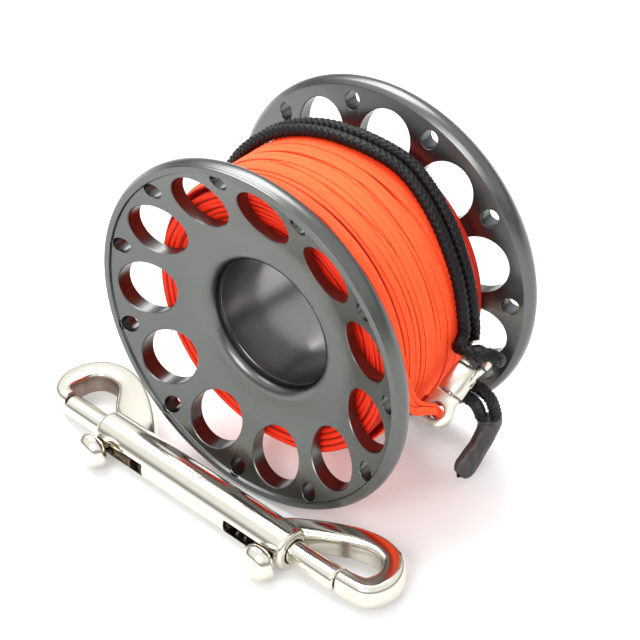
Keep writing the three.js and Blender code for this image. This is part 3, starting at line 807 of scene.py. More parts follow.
class SPOOL_OT_hub_sleeve(bpy.types.Operator):
    """Sleeve between the two flanges, seen through the bore"""

    bl_idname = "spool.hub_sleeve"
    bl_label = "Hub sleeve"

    def execute(self, context):
        start = SLEEVE_SEAT + CLEARANCE
        end = WEB_SPAN - start
        corners = [
            (BORE_RADIUS, (start + end) / 2), (BORE_RADIUS, start), (SLEEVE_RADIUS, start),
            (SLEEVE_RADIUS, end), (BORE_RADIUS, end), (BORE_RADIUS, (start + end) / 2 + 0.01),
        ]
        material = turned_aluminium("turned aluminium", context.scene.spool_colours.bore)
        piece(
            "hub_sleeve_fine", turned(rounded(corners, 0.15, 3), SPOOL_STEPS, loop=True), SPOOL,
            "spool", ["hub_sleeve"], material,
        )
        return {"FINISHED"}


# Line
def ripple(turns, seed, waves=5, low=1, high=7):
    """A smooth closed wobble between about -1 and 1 round the axis."""
    draw = np.random.RandomState(seed)
    total = np.zeros_like(turns)
    for _ in range(waves):
        size, count, start = draw.uniform(0.3, 1), draw.randint(low, high), draw.uniform(0, 2 * math.pi)
        total += size * np.sin(count * turns + start)
    return total / waves ** 0.5 / 0.8


# Places across one strand's edge, from the outside in, and how much painted shade each carries
STRAND_EDGE = ((0.97, 1.0), (0.86, 0.35), (0.6, 0.0), (0.35, 0.0), (0.12, 0.5))
STRAND_CREST = 0.42
STRAND_SINK = 0.2
STRAND_LEAN = 0.16
STRAND_LEAN_MOST = 0.06
# Share of a layer's height by which its strand sways in and out
STRAND_SWAY = 0.22
REAR_RELIEF = 0.5
CORE_RINGS = 57
# The core sinks by this under the edges of each turn
CORE_SWELL = 0.25


class SPOOL_OT_line_pack(bpy.types.Operator):
    """Inner layers of line, whose edges show as strands in the pack's sides"""

    bl_idname = "spool.line_pack"
    bl_label = "Line pack"

    def execute(self, context):
        turns = 2 * math.pi * np.arange(PACK_STEPS) / PACK_STEPS
        pitch = context.scene.spool_sizes.layer_pitch * 1000
        inner = COLLAR_RADIUS + CLEARANCE
        layers = int(round((CORE_RADIUS - inner) / pitch))
        pitch = (CORE_RADIUS - inner) / layers
        rings, painted_shade = [], []

        def ring(radius, height, painted_shade_level=0.0):
            radius, height = (np.broadcast_to(v, PACK_STEPS) for v in (radius, height))
            rings.append(np.stack([radius * np.cos(turns), height, radius * np.sin(turns)], axis=1))
            painted_shade.append(np.full(PACK_STEPS, painted_shade_level))

        def side(face, relief, seed):
            """One side, from the outermost layer in: a strand's edge for each layer."""
            for layer in range(layers, 0, -1):
                lean = STRAND_LEAN * ripple(turns, seed + layer)
                sway = STRAND_SWAY * pitch * ripple(turns, seed + 30 + layer) * (layer != layers)
                for share, painted_shade_level in STRAND_EDGE:
                    r = inner + (layer - 1 + share) * pitch
                    crest = STRAND_CREST * math.sqrt(max(0.0, 1 - (2 * share - 1) ** 2))
                    out = crest - STRAND_SINK + np.minimum(lean, STRAND_LEAN_MOST)
                    yield r + sway, face(r) - relief * out, painted_shade_level

        front = lambda r: inner_face(r) + FRONT_PACK_GAP
        start = inner_face(COLLAR_RADIUS) + COLLAR_LENGTH + CLEARANCE
        ring(SLEEVE_RADIUS + CLEARANCE, WEB_SPAN / 2)
        ring(SLEEVE_RADIUS + CLEARANCE, start)
        ring(inner, start)
        for r, y, painted_shade_level in list(side(front, 1, seed=20))[::-1]:
            ring(r, y, painted_shade_level)
        low, high = front(CORE_RADIUS), rear_side(CORE_RADIUS)
        for i in range(CORE_RINGS):
            y = low + (high - low) * (i + 0.5) / CORE_RINGS
            swell = CORE_SWELL * abs(math.sin(math.pi * (y - low) / BAND_PITCH))
            # The core between the turns carries painted shade
            ring(CORE_RADIUS - CORE_SWELL + swell, y, 0.6)
        for r, y, painted_shade_level in side(rear_side, -REAR_RELIEF, seed=60):
            ring(r, y, painted_shade_level)
        ring(inner, WEB_SPAN - start)
        ring(SLEEVE_RADIUS + CLEARANCE, WEB_SPAN - start)
        colours = context.scene.spool_colours
        material = packed_line("packed line", colours.line, colours.line_painted_shade)
        piece(
            "line_pack", lattice(rings, loop=True), SPOOL, "spool", ["line_core"],
            material, sharp=70.0, painted_shade=painted_shade,
        )
        return {"FINISHED"}


def radial(turn, radius, y):
    """A place at a turn in degrees round the spool's axis."""
    turn = np.radians(turn)
    return np.array([radius * np.cos(turn), y, radius * np.sin(turn)])


# Turns that cross the others: start in degrees, number of turns, place along the axis at both
# ends, width and height over the layer below, in millimetres
CROSSINGS = [
    (70, 1.3, 12.6, 18.6, 3.4, 0.1),
    (300, 1.1, 24.6, 15.4, 2.6, 0.12),
    (215, 0.95, 29.3, 24.2, 3.1, 0.1),
    (20, 0.55, 7.2, 9.6, 2.2, 0.1),
    (330, 0.5, 10.4, 12.9, 1.8, 0.12),
    (350, 0.42, 20.6, 22.6, 2.0, 0.1),
]
# The line's tail: how far out it lies, its share of the way from the last turn to the eye, its
# height and its width, up to the eye and from there back to the pack
TAIL_TO_EYE = (
    (0.45, 0, 0.9, 4.4), (2.05, 0.08, -3.6, 4.18), (2.95, 0.27, -6.6, 3.39), (4.05, 0.55, -7.9, 2.51),
)
TAIL_FROM_EYE = ((3.35, 1.3, -13.7, 2.2), (2.05, 1.35, -14, 2.2))
TAIL_IN_EYE = (2.4, 1.2, -1.2, -2.4)
TAIL_WIDTH = 2.2
TAIL_LIFT = 0.55
TAIL_HOP = 1.65
DRIFT = 0.13
CROSSING_THICKNESS = 0.4
CROSSING_STEPS = 120
TUCK_TURN = 18
TUCK_DEPTH = 0.8
BAND_STEPS = 110


class SPOOL_OT_line_turns(bpy.types.Operator):
    """Outer layer of line: one band whose tail goes through the small snap's eye"""

    bl_idname = "spool.line_turns"
    bl_label = "Line turns"

    def tail(self):
        """Places and widths of the band past its last turn."""
        eye = beside(*LINK_SIDE_PLACE)
        face = np.array(LINK_LOCAL.to_3x3() @ Vector((0, 0, 1)))
        before, after = (
            [(np.array([BAND_RADIUS + out, WIND_END + share * (eye[1] - WIND_END), z]), wide)
             for out, share, z, wide in route]
            for route in (TAIL_TO_EYE, TAIL_FROM_EYE)
        )
        within = [(eye + face * depth, TAIL_WIDTH) for depth in TAIL_IN_EYE]
        end = after[-1][0]
        turn = math.degrees(math.atan2(end[2], end[0])) + 1
        radius = BAND_RADIUS + BAND_THICKNESS / 2 + TAIL_LIFT
        ends = [(radial(turn, r, end[1]), TAIL_WIDTH) for r in (radius + TAIL_HOP, radius)]
        return before + within + after + ends

    def execute(self, context):
        sizes, colours = context.scene.spool_sizes, context.scene.spool_colours
        width = sizes.band_width * 1000
        first = LAST_TURN + 360 * WIND_TURNS
        steps = int(round(WIND_TURNS * BAND_STEPS))
        wound = 360 * WIND_TURNS * np.arange(steps + 1) / steps
        # The narrow start of the band, which comes out of the pack at the rear flange
        lead = [
            (2.6, rear_side(BAND_RADIUS - 0.55)), (2.3, rear_side(BAND_RADIUS) - 0.8),
            (1.4, WIND_START + 0.4),
        ]
        centres, wide, ups = [], [], {}
        for run, y in lead:
            turn = first + math.degrees(run * BAND_THICKNESS / BAND_RADIUS)
            ups[len(centres)] = radial(turn, 1.0, 0.0)
            centres.append(radial(turn, BAND_RADIUS, y))
            wide.append(BAND_THICKNESS)
        drift = DRIFT * ripple(np.radians(wound) / WIND_TURNS, 5, 9, 3, 40)
        for w, shift in zip(wound, drift):
            turn = first - w
            ups[len(centres)] = radial(turn, 1.0, 0.0)
            y = WIND_START - BAND_PITCH * w / 360 + shift * min(w / 90, 1)
            centres.append(radial(turn, BAND_RADIUS, y))
            wide.append(BAND_THICKNESS + (width - BAND_THICKNESS) * min(w / WIDEN_TURN, 1))
        tail = self.tail()
        joined, number = curve_through([centres[-12], centres[-1]] + [p for p, _ in tail], 9)
        tail_wide = np.interp(number, np.arange(len(tail) + 2), [width, width] + [w for _, w in tail])
        keep = number > 1
        centres += list(joined[keep])
        wide += list(tail_wide[keep])
        way = np.linspace(0, 2 * math.pi, len(centres))
        places = np.stack([
            0.3 * ripple(way, 11, 9, 2, 34) - 0.33 + 0.25 * np.sin(9 * way),
            0.3 * ripple(way, 12, 9, 2, 30) + 0.38,
        ], axis=1)
        depths = np.stack([
            np.clip(0.28 + 0.35 * ripple(way, 13, 7, 2, 22), 0, 0.55),
            np.clip(0.2 + 0.35 * ripple(way, 14, 7, 2, 26), 0, 0.5),
        ], axis=1)
        crown = sizes.band_crown * 2000 / BAND_THICKNESS
        sections, painted_shade = band_section(places, depths, crown)
        rings = swept(centres, sections, np.array(wide), BAND_THICKNESS, ups)
        material = woven_line("woven line", colours.line, colours.line_painted_shade, sizes.weave_pitch)
        piece(
            "line_turns", lattice(rings), SPOOL, "spool", ["line_winding"], material,
            sharp=60.0, painted_shade=painted_shade,
        )
        for i, crossing in enumerate(CROSSINGS):
            self.crossing(f"line_crossing_{i + 1}", *crossing, material)
        return {"FINISHED"}

    def crossing(self, name, start, turns, y0, y1, width, level, material):
        """A thin turn that lies across the others, with both ends tucked under."""
        steps = int(turns * CROSSING_STEPS)
        share = np.arange(steps + 1) / steps
        ease = share - 0.2 * np.sin(2 * math.pi * share) / math.pi
        tuck = np.clip(np.minimum(share, 1 - share) * turns * 360 / TUCK_TURN, 0, 1)
        radius = BAND_RADIUS + BAND_THICKNESS / 2 + level - TUCK_DEPTH * (1 - tuck) ** 2
        turn = start + 360 * turns * share
        sway = 0.25 * ripple(2 * math.pi * share, int(start))
        centres = [radial(t, r, y0 + (y1 - y0) * e + w) for t, r, e, w in zip(turn, radius, ease, sway)]
        ups = {i: radial(t, 1.0, 0.0) for i, t in enumerate(turn)}
        sections, painted_shade = band_section(0.2 * ripple(2 * math.pi * share, 3), np.full(steps + 1, 0.25), 0.25)
        rings = swept(centres, sections, width, CROSSING_THICKNESS, ups)
        piece(name, lattice(rings), SPOOL, "spool", [], material, sharp=60.0, painted_shade=painted_shade)


# Elastic cord. Turns in degrees round the pack, and shares of the way from front to rear
PACK_ROUTE = [
    (318, 0.734), (300, 0.741), (270, 0.726), (230, 0.696), (190, 0.681), (150, 0.691), (121, 0.701),
    (102, 0.716), (84, 0.731), (66, 0.764), (47, 0.729), (30, 0.694), (9, 0.674),
]
# Places beside the pack (see beside), and the direction in which the two strands lie apart
SLEEVE_ROUTE = [
    ((4.05, 0.846, -24.2), (1.25, 0.75, 0.3)),
    ((4.1, 0.82, -21.6), (1.2, 0.85, 0.35)),
    ((4.15, 0.776, -18.4), (0.95, 1.1, 0.45)),
    ((3.05, 0.734, -15.9), (0.3, 1.3, 0.4)),
    ((0.25, 0.724, -15.9), (0.1, 1.5, 0.1)),
    ((-3.15, 0.731, -19.2), (0, 1.5, 0)),
]
# Places in the small snap's frame
BIGHT_ROUTE = [
    (-3.95, 15.6, 2.4), (-3.2, 13.8, 2.9), (-1.5, 13, 3.15), (0.2, 13.4, 3.2), (1, 13.8, 2.5),
    (0.75, 13.85, 1.2), (0.6, 13.9, 0), (0.45, 13.9, -1.2), (0.2, 14, -2.6),
    (-1.2, 14.4, -3.2), (-3, 15.6, -2.9), (-3.7, 17.6, -0.8),
]
WRAP_ROUTE = [
    (-3.6, 14.4, -1.6), (-3.9, 13.2, 0.6), (-2.9, 12.7, 2.6), (-0.4, 13.3, 3.35), (2.2, 14.3, 3.2),
    (3.6, 14.9, 2.3), (4.4, 15.2, 0.3), (3.6, 15.1, -1.9), (1.8, 14.6, -3.0), (-0.6, 14.2, -3.2),
]
CORD_STEP = 11.5
CORD_STATION = 0.25
BRAID_RISE = 0.14
BRAID_PAIRS = 3
# The sleeve's mouth: how far it reaches over the strands, its width and thickness
SLEEVE_MOUTH = ((0.38, 5.0, 2.9), (0.7, 5.4, 3.25), (1.9, 5.2, 3.3))
# The rest of the sleeve: places beside the pack, width and thickness
SLEEVE_BODY = (
    ((3.85, 0.844, -28.4), 4.5, 3.2), ((3.65, 0.784, -31), 4.3, 3.15), ((3.4, 0.73, -32.8), 4.65, 2.9),
    ((3.25, 0.69, -34), 4.8, 2.5), ((3.1, 0.662, -34.8), 4.2, 2.0), ((3.05, 0.645, -35.15), 3.0, 1.5),
    ((3.02, 0.638, -35.3), 1.2, 0.7),
)
# The cord's melted end: distance from the sleeve's tip, width and thickness
MELTED_END = ((-0.9, 1.3, 1.1), (-0.5, 1.35, 1.1), (0.0, 1.2, 1.0), (0.35, 0.8, 0.7), (0.5, 0.3, 0.25))


def strand(side):
    """Stations of one of the cord's two strands, from the sleeve to the small snap."""
    places = [(turn, WEB_SPAN * share) for turn, share in PACK_ROUTE]
    steps = int(round((places[0][0] - places[-1][0]) / CORD_STEP))
    fine, _ = curve_through(places, 20, centripetal=False)
    run = run_along(fine)
    at = np.linspace(0, run[-1], steps + 1)
    on_pack = [
        radial(np.interp(a, run, fine[:, 0]), CORD_CIRCLE, np.interp(a, run, fine[:, 1])) for a in at
    ]
    middles = [beside(*place) for place, _ in SLEEVE_ROUTE] + on_pack
    out = []
    for i, middle in enumerate(middles):
        apart = np.array(SLEEVE_ROUTE[min(i, len(SLEEVE_ROUTE) - 1)][1], float)
        along = unit(middles[min(i + 1, len(middles) - 1)] - middles[max(i - 1, 0)])
        apart = unit(apart - along * np.dot(apart, along))
        out.append(middle + side * STRAND_OFFSET * apart)
    return out


class SPOOL_OT_cord(bpy.types.Operator):
    """Elastic cord, laid double round the pack, with the sleeve on its two ends"""

    bl_idname = "spool.cord"
    bl_label = "Elastic cord and sleeve"

    def braid(self, name, route, sizes, material, nodes):
        """A braided round cord along a route, made of raised cells."""
        centres = evenly(curve_through(route, 24)[0], CORD_STATION)
        rings = swept(centres, circle(CORD_STEPS), 2.0, 2.0, {0: (1, 0, 0)})
        along = np.arange(len(centres))[:, None] * np.linalg.norm(centres[1] - centres[0])
        around = 2 * math.pi * np.arange(CORD_STEPS)[None, :] / CORD_STEPS
        run = math.pi * along / (sizes.braid_pitch * 1000)
        cells = np.abs(np.cos(BRAID_PAIRS * around + run) * np.cos(BRAID_PAIRS * around - run)) ** 0.6
        radius = CORD_RADIUS + BRAID_RISE - sizes.braid_relief * 1000 * (1 - cells)
        radius[[0, -1]] *= 0.9
        rings = centres[:, None, :] + (rings - centres[:, None, :]) * radius[:, :, None]
        piece(name, lattice(rings), SPOOL, "spool", nodes, material, sharp=80.0)

    def sleeve(self, material, dark):
        """The sleeve from its mouth to its folded tip, and the melted end that looks out of it."""
        places = [beside(*place) for place, _ in SLEEVE_ROUTE]
        into = unit(places[0] - places[1])
        boot = [(places[0] + into * depth, wide, thick) for depth, wide, thick in SLEEVE_MOUTH]
        boot += [(beside(*at), wide, thick) for at, wide, thick in SLEEVE_BODY]
        up = np.cross(np.array(SLEEVE_ROUTE[0][1]), into)
        fine, number = curve_through([b[0] for b in boot], 10)
        wide, thick = (np.interp(number, np.arange(len(boot)), [b[c] for b in boot]) for c in (1, 2))
        section = circle(SLEEVE_STEPS)
        rings = swept(fine, section, wide, thick, {0: up})
        across, height = section[:, 0], section[:, 1]
        for i, share in enumerate(number / (len(boot) - 1)):
            waist = 0.22 * (1 - share) * np.exp(-((across / 0.3) ** 2)) * np.abs(height)
            crease = 0.4 * np.exp(-(((share - 0.8) / 0.07) ** 2)) * np.exp(-(((across - 0.15) / 0.35) ** 2))
            fold = 0.07 * np.sin(38 * share + 3.5 * across) * (0.3 + share)
            shrink = waist + crease * np.clip(height, 0, 1) + fold * np.abs(height)
            rings[i] = fine[i] + (rings[i] - fine[i]) * (1 - shrink)[:, None]
        piece(
            "shrink_sleeve", lattice(rings), SPOOL, "spool", ["cord_sleeve"], material,
            sharp=50.0,
        )
        along = unit(fine[-1] - fine[-2])
        reach, wide, thick = zip(*MELTED_END)
        tip = swept([fine[-1] + along * d for d in reach], circle(TIP_STEPS), wide, thick, {0: up})
        piece("melted_end", lattice(tip), SPOOL, "spool", [], dark, sharp=60.0)

    def execute(self, context):
        sizes, colours = context.scene.spool_sizes, context.scene.spool_colours
        braid = braided_cord("braided cord", colours.cord)
        bight, wrap = ([np.array(LINK_LOCAL @ Vector(p)) for p in r] for r in (BIGHT_ROUTE, WRAP_ROUTE))
        self.braid("elastic_cord", strand(-1) + bight + strand(1)[::-1], sizes, braid, ["cord_loop"])
        self.braid("cord_wrap", wrap, sizes, braid, [])
        self.sleeve(shrink_tube("shrink tube", colours.shrink), braid)
        return {"FINISHED"}


# Small swivel snap, in its own frame: the eye's middle is at 0, and the hook lies along Y
LINK_RADIUS = 2.3
LINK_START = 4.5
LINK_END = 8.1
SWIVEL_CAVITY = 1.6
SWIVEL_CAVITY_END = 7.2
SWIVEL_NECK = 1.1
# Height, half width and half thickness of the tapered body
TAPER = (
    (4.55, 2.5, 2.3), (4.8, 2.62, 2.42), (6.3, 2.6, 2.42), (7.8, 2.52, 2.34), (9.0, 2.4, 2.2),
    (10.0, 2.26, 2.0), (10.7, 2.14, 1.8), (10.9, 2.0, 1.65),
)
GATE_SLOT = 1.7
GATE_HALF_WIDTH = 0.6
PIN_RADIUS = 0.42
PIN_HOLE = 0.72
PIN_HALF_LENGTH = 1.2
GATE_THICKNESS = 1.1
GATE_HEEL_RADIUS = 0.95
EYE_RADIUS = 3.15
EYE_THICKNESS = 2.4
# Outlines: the shoulder below the eye's ring, and the ears that hold the pin
EYE_SHOULDER = ((2.3, 2.9), (2.35, 3.9), (2.2, 4.22), (-2.4, 4.22), (-2.6, 3.9), (-2.6, 2.6))
EARS = ((-0.4, 7.5), (2.7, 7.5), (2.7, 9.3), (2.2, 9.85), (-0.4, 9.85))
# Radius and height: the stem with its head, and the eye's hole with its broken edges
STEM = ((0.0, 2.2), (0.8, 2.2), (0.8, 5.5), (1.3, 5.5), (1.3, 6.9), (0.0, 6.9))
EYE_HOLE = ((1.95, -1.4), (1.95, -1.2), (1.6, -0.8), (1.6, 0.8), (1.95, 1.2), (1.95, 1.4))
GATE_PIN = (1.75, 8.9)
HOOK_CENTRE = (0.4, 13.5)
HOOK_HOLE = 2.1
HOOK_BAR = 1.0
HOOK_THICKNESS = 2.4
NOSE_TURN = -25.0
SHANK_LEFT = -2.1
SHANK_RIGHT = 0.2
SHANK_END = 11.2
GATE_SLOT_START = 7.65


def slab(outline, thickness, edge):
    """A plate of the outline, centred on z = 0, with broken edges."""
    outline = np.asarray(outline, float)
    after, before = np.roll(outline, -1, axis=0), np.roll(outline, 1, axis=0)
    normal = (after - before)[:, ::-1] * (1, -1)
    normal /= np.linalg.norm(normal, axis=1)[:, None]
    area = np.sum(outline[:, 0] * after[:, 1] - after[:, 0] * outline[:, 1])
    normal *= 1 if area > 0 else -1
    rings = []
    corner = ((edge, 0), (edge * 0.3, edge * 0.3), (0, edge))
    levels = [(thickness / 2 - depth, inset) for depth, inset in corner]
    for z, inset in [(-z, inset) for z, inset in levels[::-1]] + levels:
        flat = outline - normal * inset
        rings.append(np.concatenate([flat, np.full((len(flat), 1), z)], axis=1))
    return lattice(rings)


class SPOOL_OT_small_snap(bpy.types.Operator):
    """Small swivel snap: eye, barrel with its hook, gate and gate pin"""

    bl_idname = "spool.small_snap"
    bl_label = "Small swivel snap"

    def hook(self, start):
        """The shank from a height up and the hook's bar round its hole to the nose."""
        outer = HOOK_HOLE + HOOK_BAR
        inside = math.degrees(math.acos((SHANK_RIGHT - HOOK_CENTRE[0]) / HOOK_HOLE))
        outside = math.degrees(math.acos((SHANK_LEFT - HOOK_CENTRE[0]) / outer))
        outline = [(SHANK_LEFT, start), (SHANK_RIGHT, start)]
        outline += [(SHANK_RIGHT, y) for y in np.linspace(start, SHANK_END, 8)[1:]]
        outline += arc(HOOK_CENTRE, HOOK_HOLE, 360 - inside, NOSE_TURN, 60)
        outline += arc(HOOK_CENTRE, outer, NOSE_TURN, 360 - outside, 80)
        low = HOOK_CENTRE[1] - outer * math.sin(math.radians(outside))
        outline += [(SHANK_LEFT, y) for y in np.linspace(low, start, 8)[1:-1]]
        return slab(outline, HOOK_THICKNESS, edge=0.16)

    def body(self, material):
        """Barrel round the swivel, ears, taper and hook in one, with the gate's slot cut out."""
        shoulder = LINK_START + 0.7
        profile = rounded([
            (0.0, LINK_END), (LINK_RADIUS, LINK_END), (LINK_RADIUS, LINK_START), (SWIVEL_NECK, LINK_START),
            (SWIVEL_NECK, shoulder), (SWIVEL_CAVITY, shoulder), (SWIVEL_CAVITY, SWIVEL_CAVITY_END),
            (0.0, SWIVEL_CAVITY_END),
        ], 0.3, 5)
        profile[0][0] = profile[-1][0] = 0.002
        barrel = turned(profile, BARREL_STEPS, loop=True)
        ears = slab(EARS, HOOK_THICKNESS, edge=0.14)
        taper = []
        for y, wide, thick in TAPER:
            x, z = np.transpose(tape_section(TAPER_STEPS, 0.8 - 0.1 * (y - 6.3)))
            taper.append(np.stack([wide * x, np.full(TAPER_STEPS, y), thick * z], axis=1))
        low = GATE_SLOT_START
        joined = carved(barrel, [self.hook(low), ears, lattice(taper)], "UNION")
        slot = slab([(-0.7, low), (5, low), (5, 12), (-0.7, 12)], GATE_SLOT, edge=0.05)
        hole = turned([(PIN_HOLE, -1.35), (PIN_HOLE, 1.35)], PIN_HOLE_STEPS, along=2)
        hole = body_mesh("pin hole", hole)
        hole.transform(Matrix.Translation((*GATE_PIN, 0)))
        joined = carved(joined, [slot, hole])
        piece("link_body_fine", joined, LINK, "link", ["link_body"], material)

    def eye(self, material):
        """A flat eye whose stem ends in a head inside the body."""
        plate = arc((0, 0), EYE_RADIUS, 151, 389, 60)
        plate += EYE_SHOULDER
        stem = turned(rounded(STEM, 0.12), STEM_STEPS)
        joined = carved(slab(plate, EYE_THICKNESS, edge=0.22), [stem], "UNION")
        joined = carved(joined, [turned(EYE_HOLE, EYE_HOLE_STEPS, along=2)])
        piece("link_eye_fine", joined, LINK, "spool", ["link_eye"], material)

    def gate(self, material):
        """The lever that closes the hook, on its pin."""
        tip = (
            HOOK_CENTRE[0] + (HOOK_HOLE + HOOK_BAR / 2) * math.cos(math.radians(NOSE_TURN)),
            HOOK_CENTRE[1] + (HOOK_HOLE + HOOK_BAR) * math.sin(math.radians(NOSE_TURN)) - CLEARANCE,
        )
        run = Vector((tip[0] - GATE_PIN[0], tip[1] - GATE_PIN[1]))
        half, shares = GATE_HALF_WIDTH, (0.3, 0.6, 0.85)
        outline = [(half, run.length * t) for t in shares]
        outline += [(half - 0.15, run.length), (-half + 0.15, run.length)]
        outline += [(-half, run.length * t) for t in shares[::-1]]
        outline += arc((0, 0), GATE_HEEL_RADIUS, 170, 370, 28)
        hole = turned([(PIN_HOLE, -2), (PIN_HOLE, 2)], PIN_HOLE_STEPS, along=2)
        lever = carved(slab(outline, GATE_THICKNESS, edge=0.12), [hole])
        lean = Matrix.Rotation(-math.atan2(run.x, run.y), 4, "Z")
        at_pin = LINK @ Matrix.Translation((*GATE_PIN, 0))
        piece("link_gate_fine", lever, at_pin @ lean, "gate", ["link_gate"], material)
        end = PIN_HALF_LENGTH
        pin = rounded([(0.0, -end), (PIN_RADIUS, -end), (PIN_RADIUS, end), (0.0, end)], 0.12)
        piece(
            "link_gate_pin_fine", turned(pin, PIN_STEPS, along=2), at_pin, "link",
            ["link_gate_pin"], material,
        )

    def execute(self, context):
        color = tint(context.scene.spool_colours.steel, 0.86)
        material = polished_steel("small snap steel", color, 0.3)
        self.body(material)
        self.eye(material)
        self.gate(material)
        return {"FINISHED"}


# Double-ended bolt snap
# Side, root, reach, rise and nose of each hook, then how much its root and bow widen inwards
HOOKS = {
    "left": (-1, 15.5, 45.9, 13.8, 39.8, 4.6, 2.0),
    "right": (1, 19.5, 48.2, 11.9, 39.8, 1.6, 1.3),
}
HOOK_ROUTE = [
    (0, 0.08), (0.2, 0.46), (0.4, 0.76), (0.58, 0.95), (0.76, 1), (0.9, 0.88), (0.98, 0.6),
    (0.985, 0.3), (0.92, 0.06),
]
HOOK_WIDTH = 3.8
HOOK_HEIGHT = 5.8
NOSE_LENGTH = 1.6
SNAP_STATION = 0.7
# Middle of each hook's opening: the faces turned towards it get painted shade, brown and rougher
HOOK_OPENING = (35.0, 6.5)
BORE_END = 38.6
SLOT_CORNER = 0.35
# The part of each bolt that stays inside the barrel gets painted shadow, brown and rougher
SHADOWED_BOLT_END = 27.2
# Radius and height of a thumb knob with its stem, and the depths of the stem's hole in the bolt
THUMB = (
    (0.0, -1.3), (1.2, -1.3), (1.2, -4.6), (1.6, -4.85), (3.5, -6.0), (4.1, -6.8),
    (4.0, -7.7), (3.1, -9.0), (1.4, -9.8), (0.0, -9.95),
)
THUMB_HOLE = (-4.5, -1.0)


def hook_section(steps):
    """Flat inside, rounded outside; the first value is positive on the outer side."""
    c = circle(steps)
    s = np.where(c[:, 0] > 0, np.abs(c[:, 0]) ** 0.85, -np.abs(c[:, 0]) ** 0.42)
    t = np.sign(c[:, 1]) * np.abs(c[:, 1]) ** np.where(c[:, 0] > 0, 0.8, 0.55)
    return np.stack([s, t], axis=1)


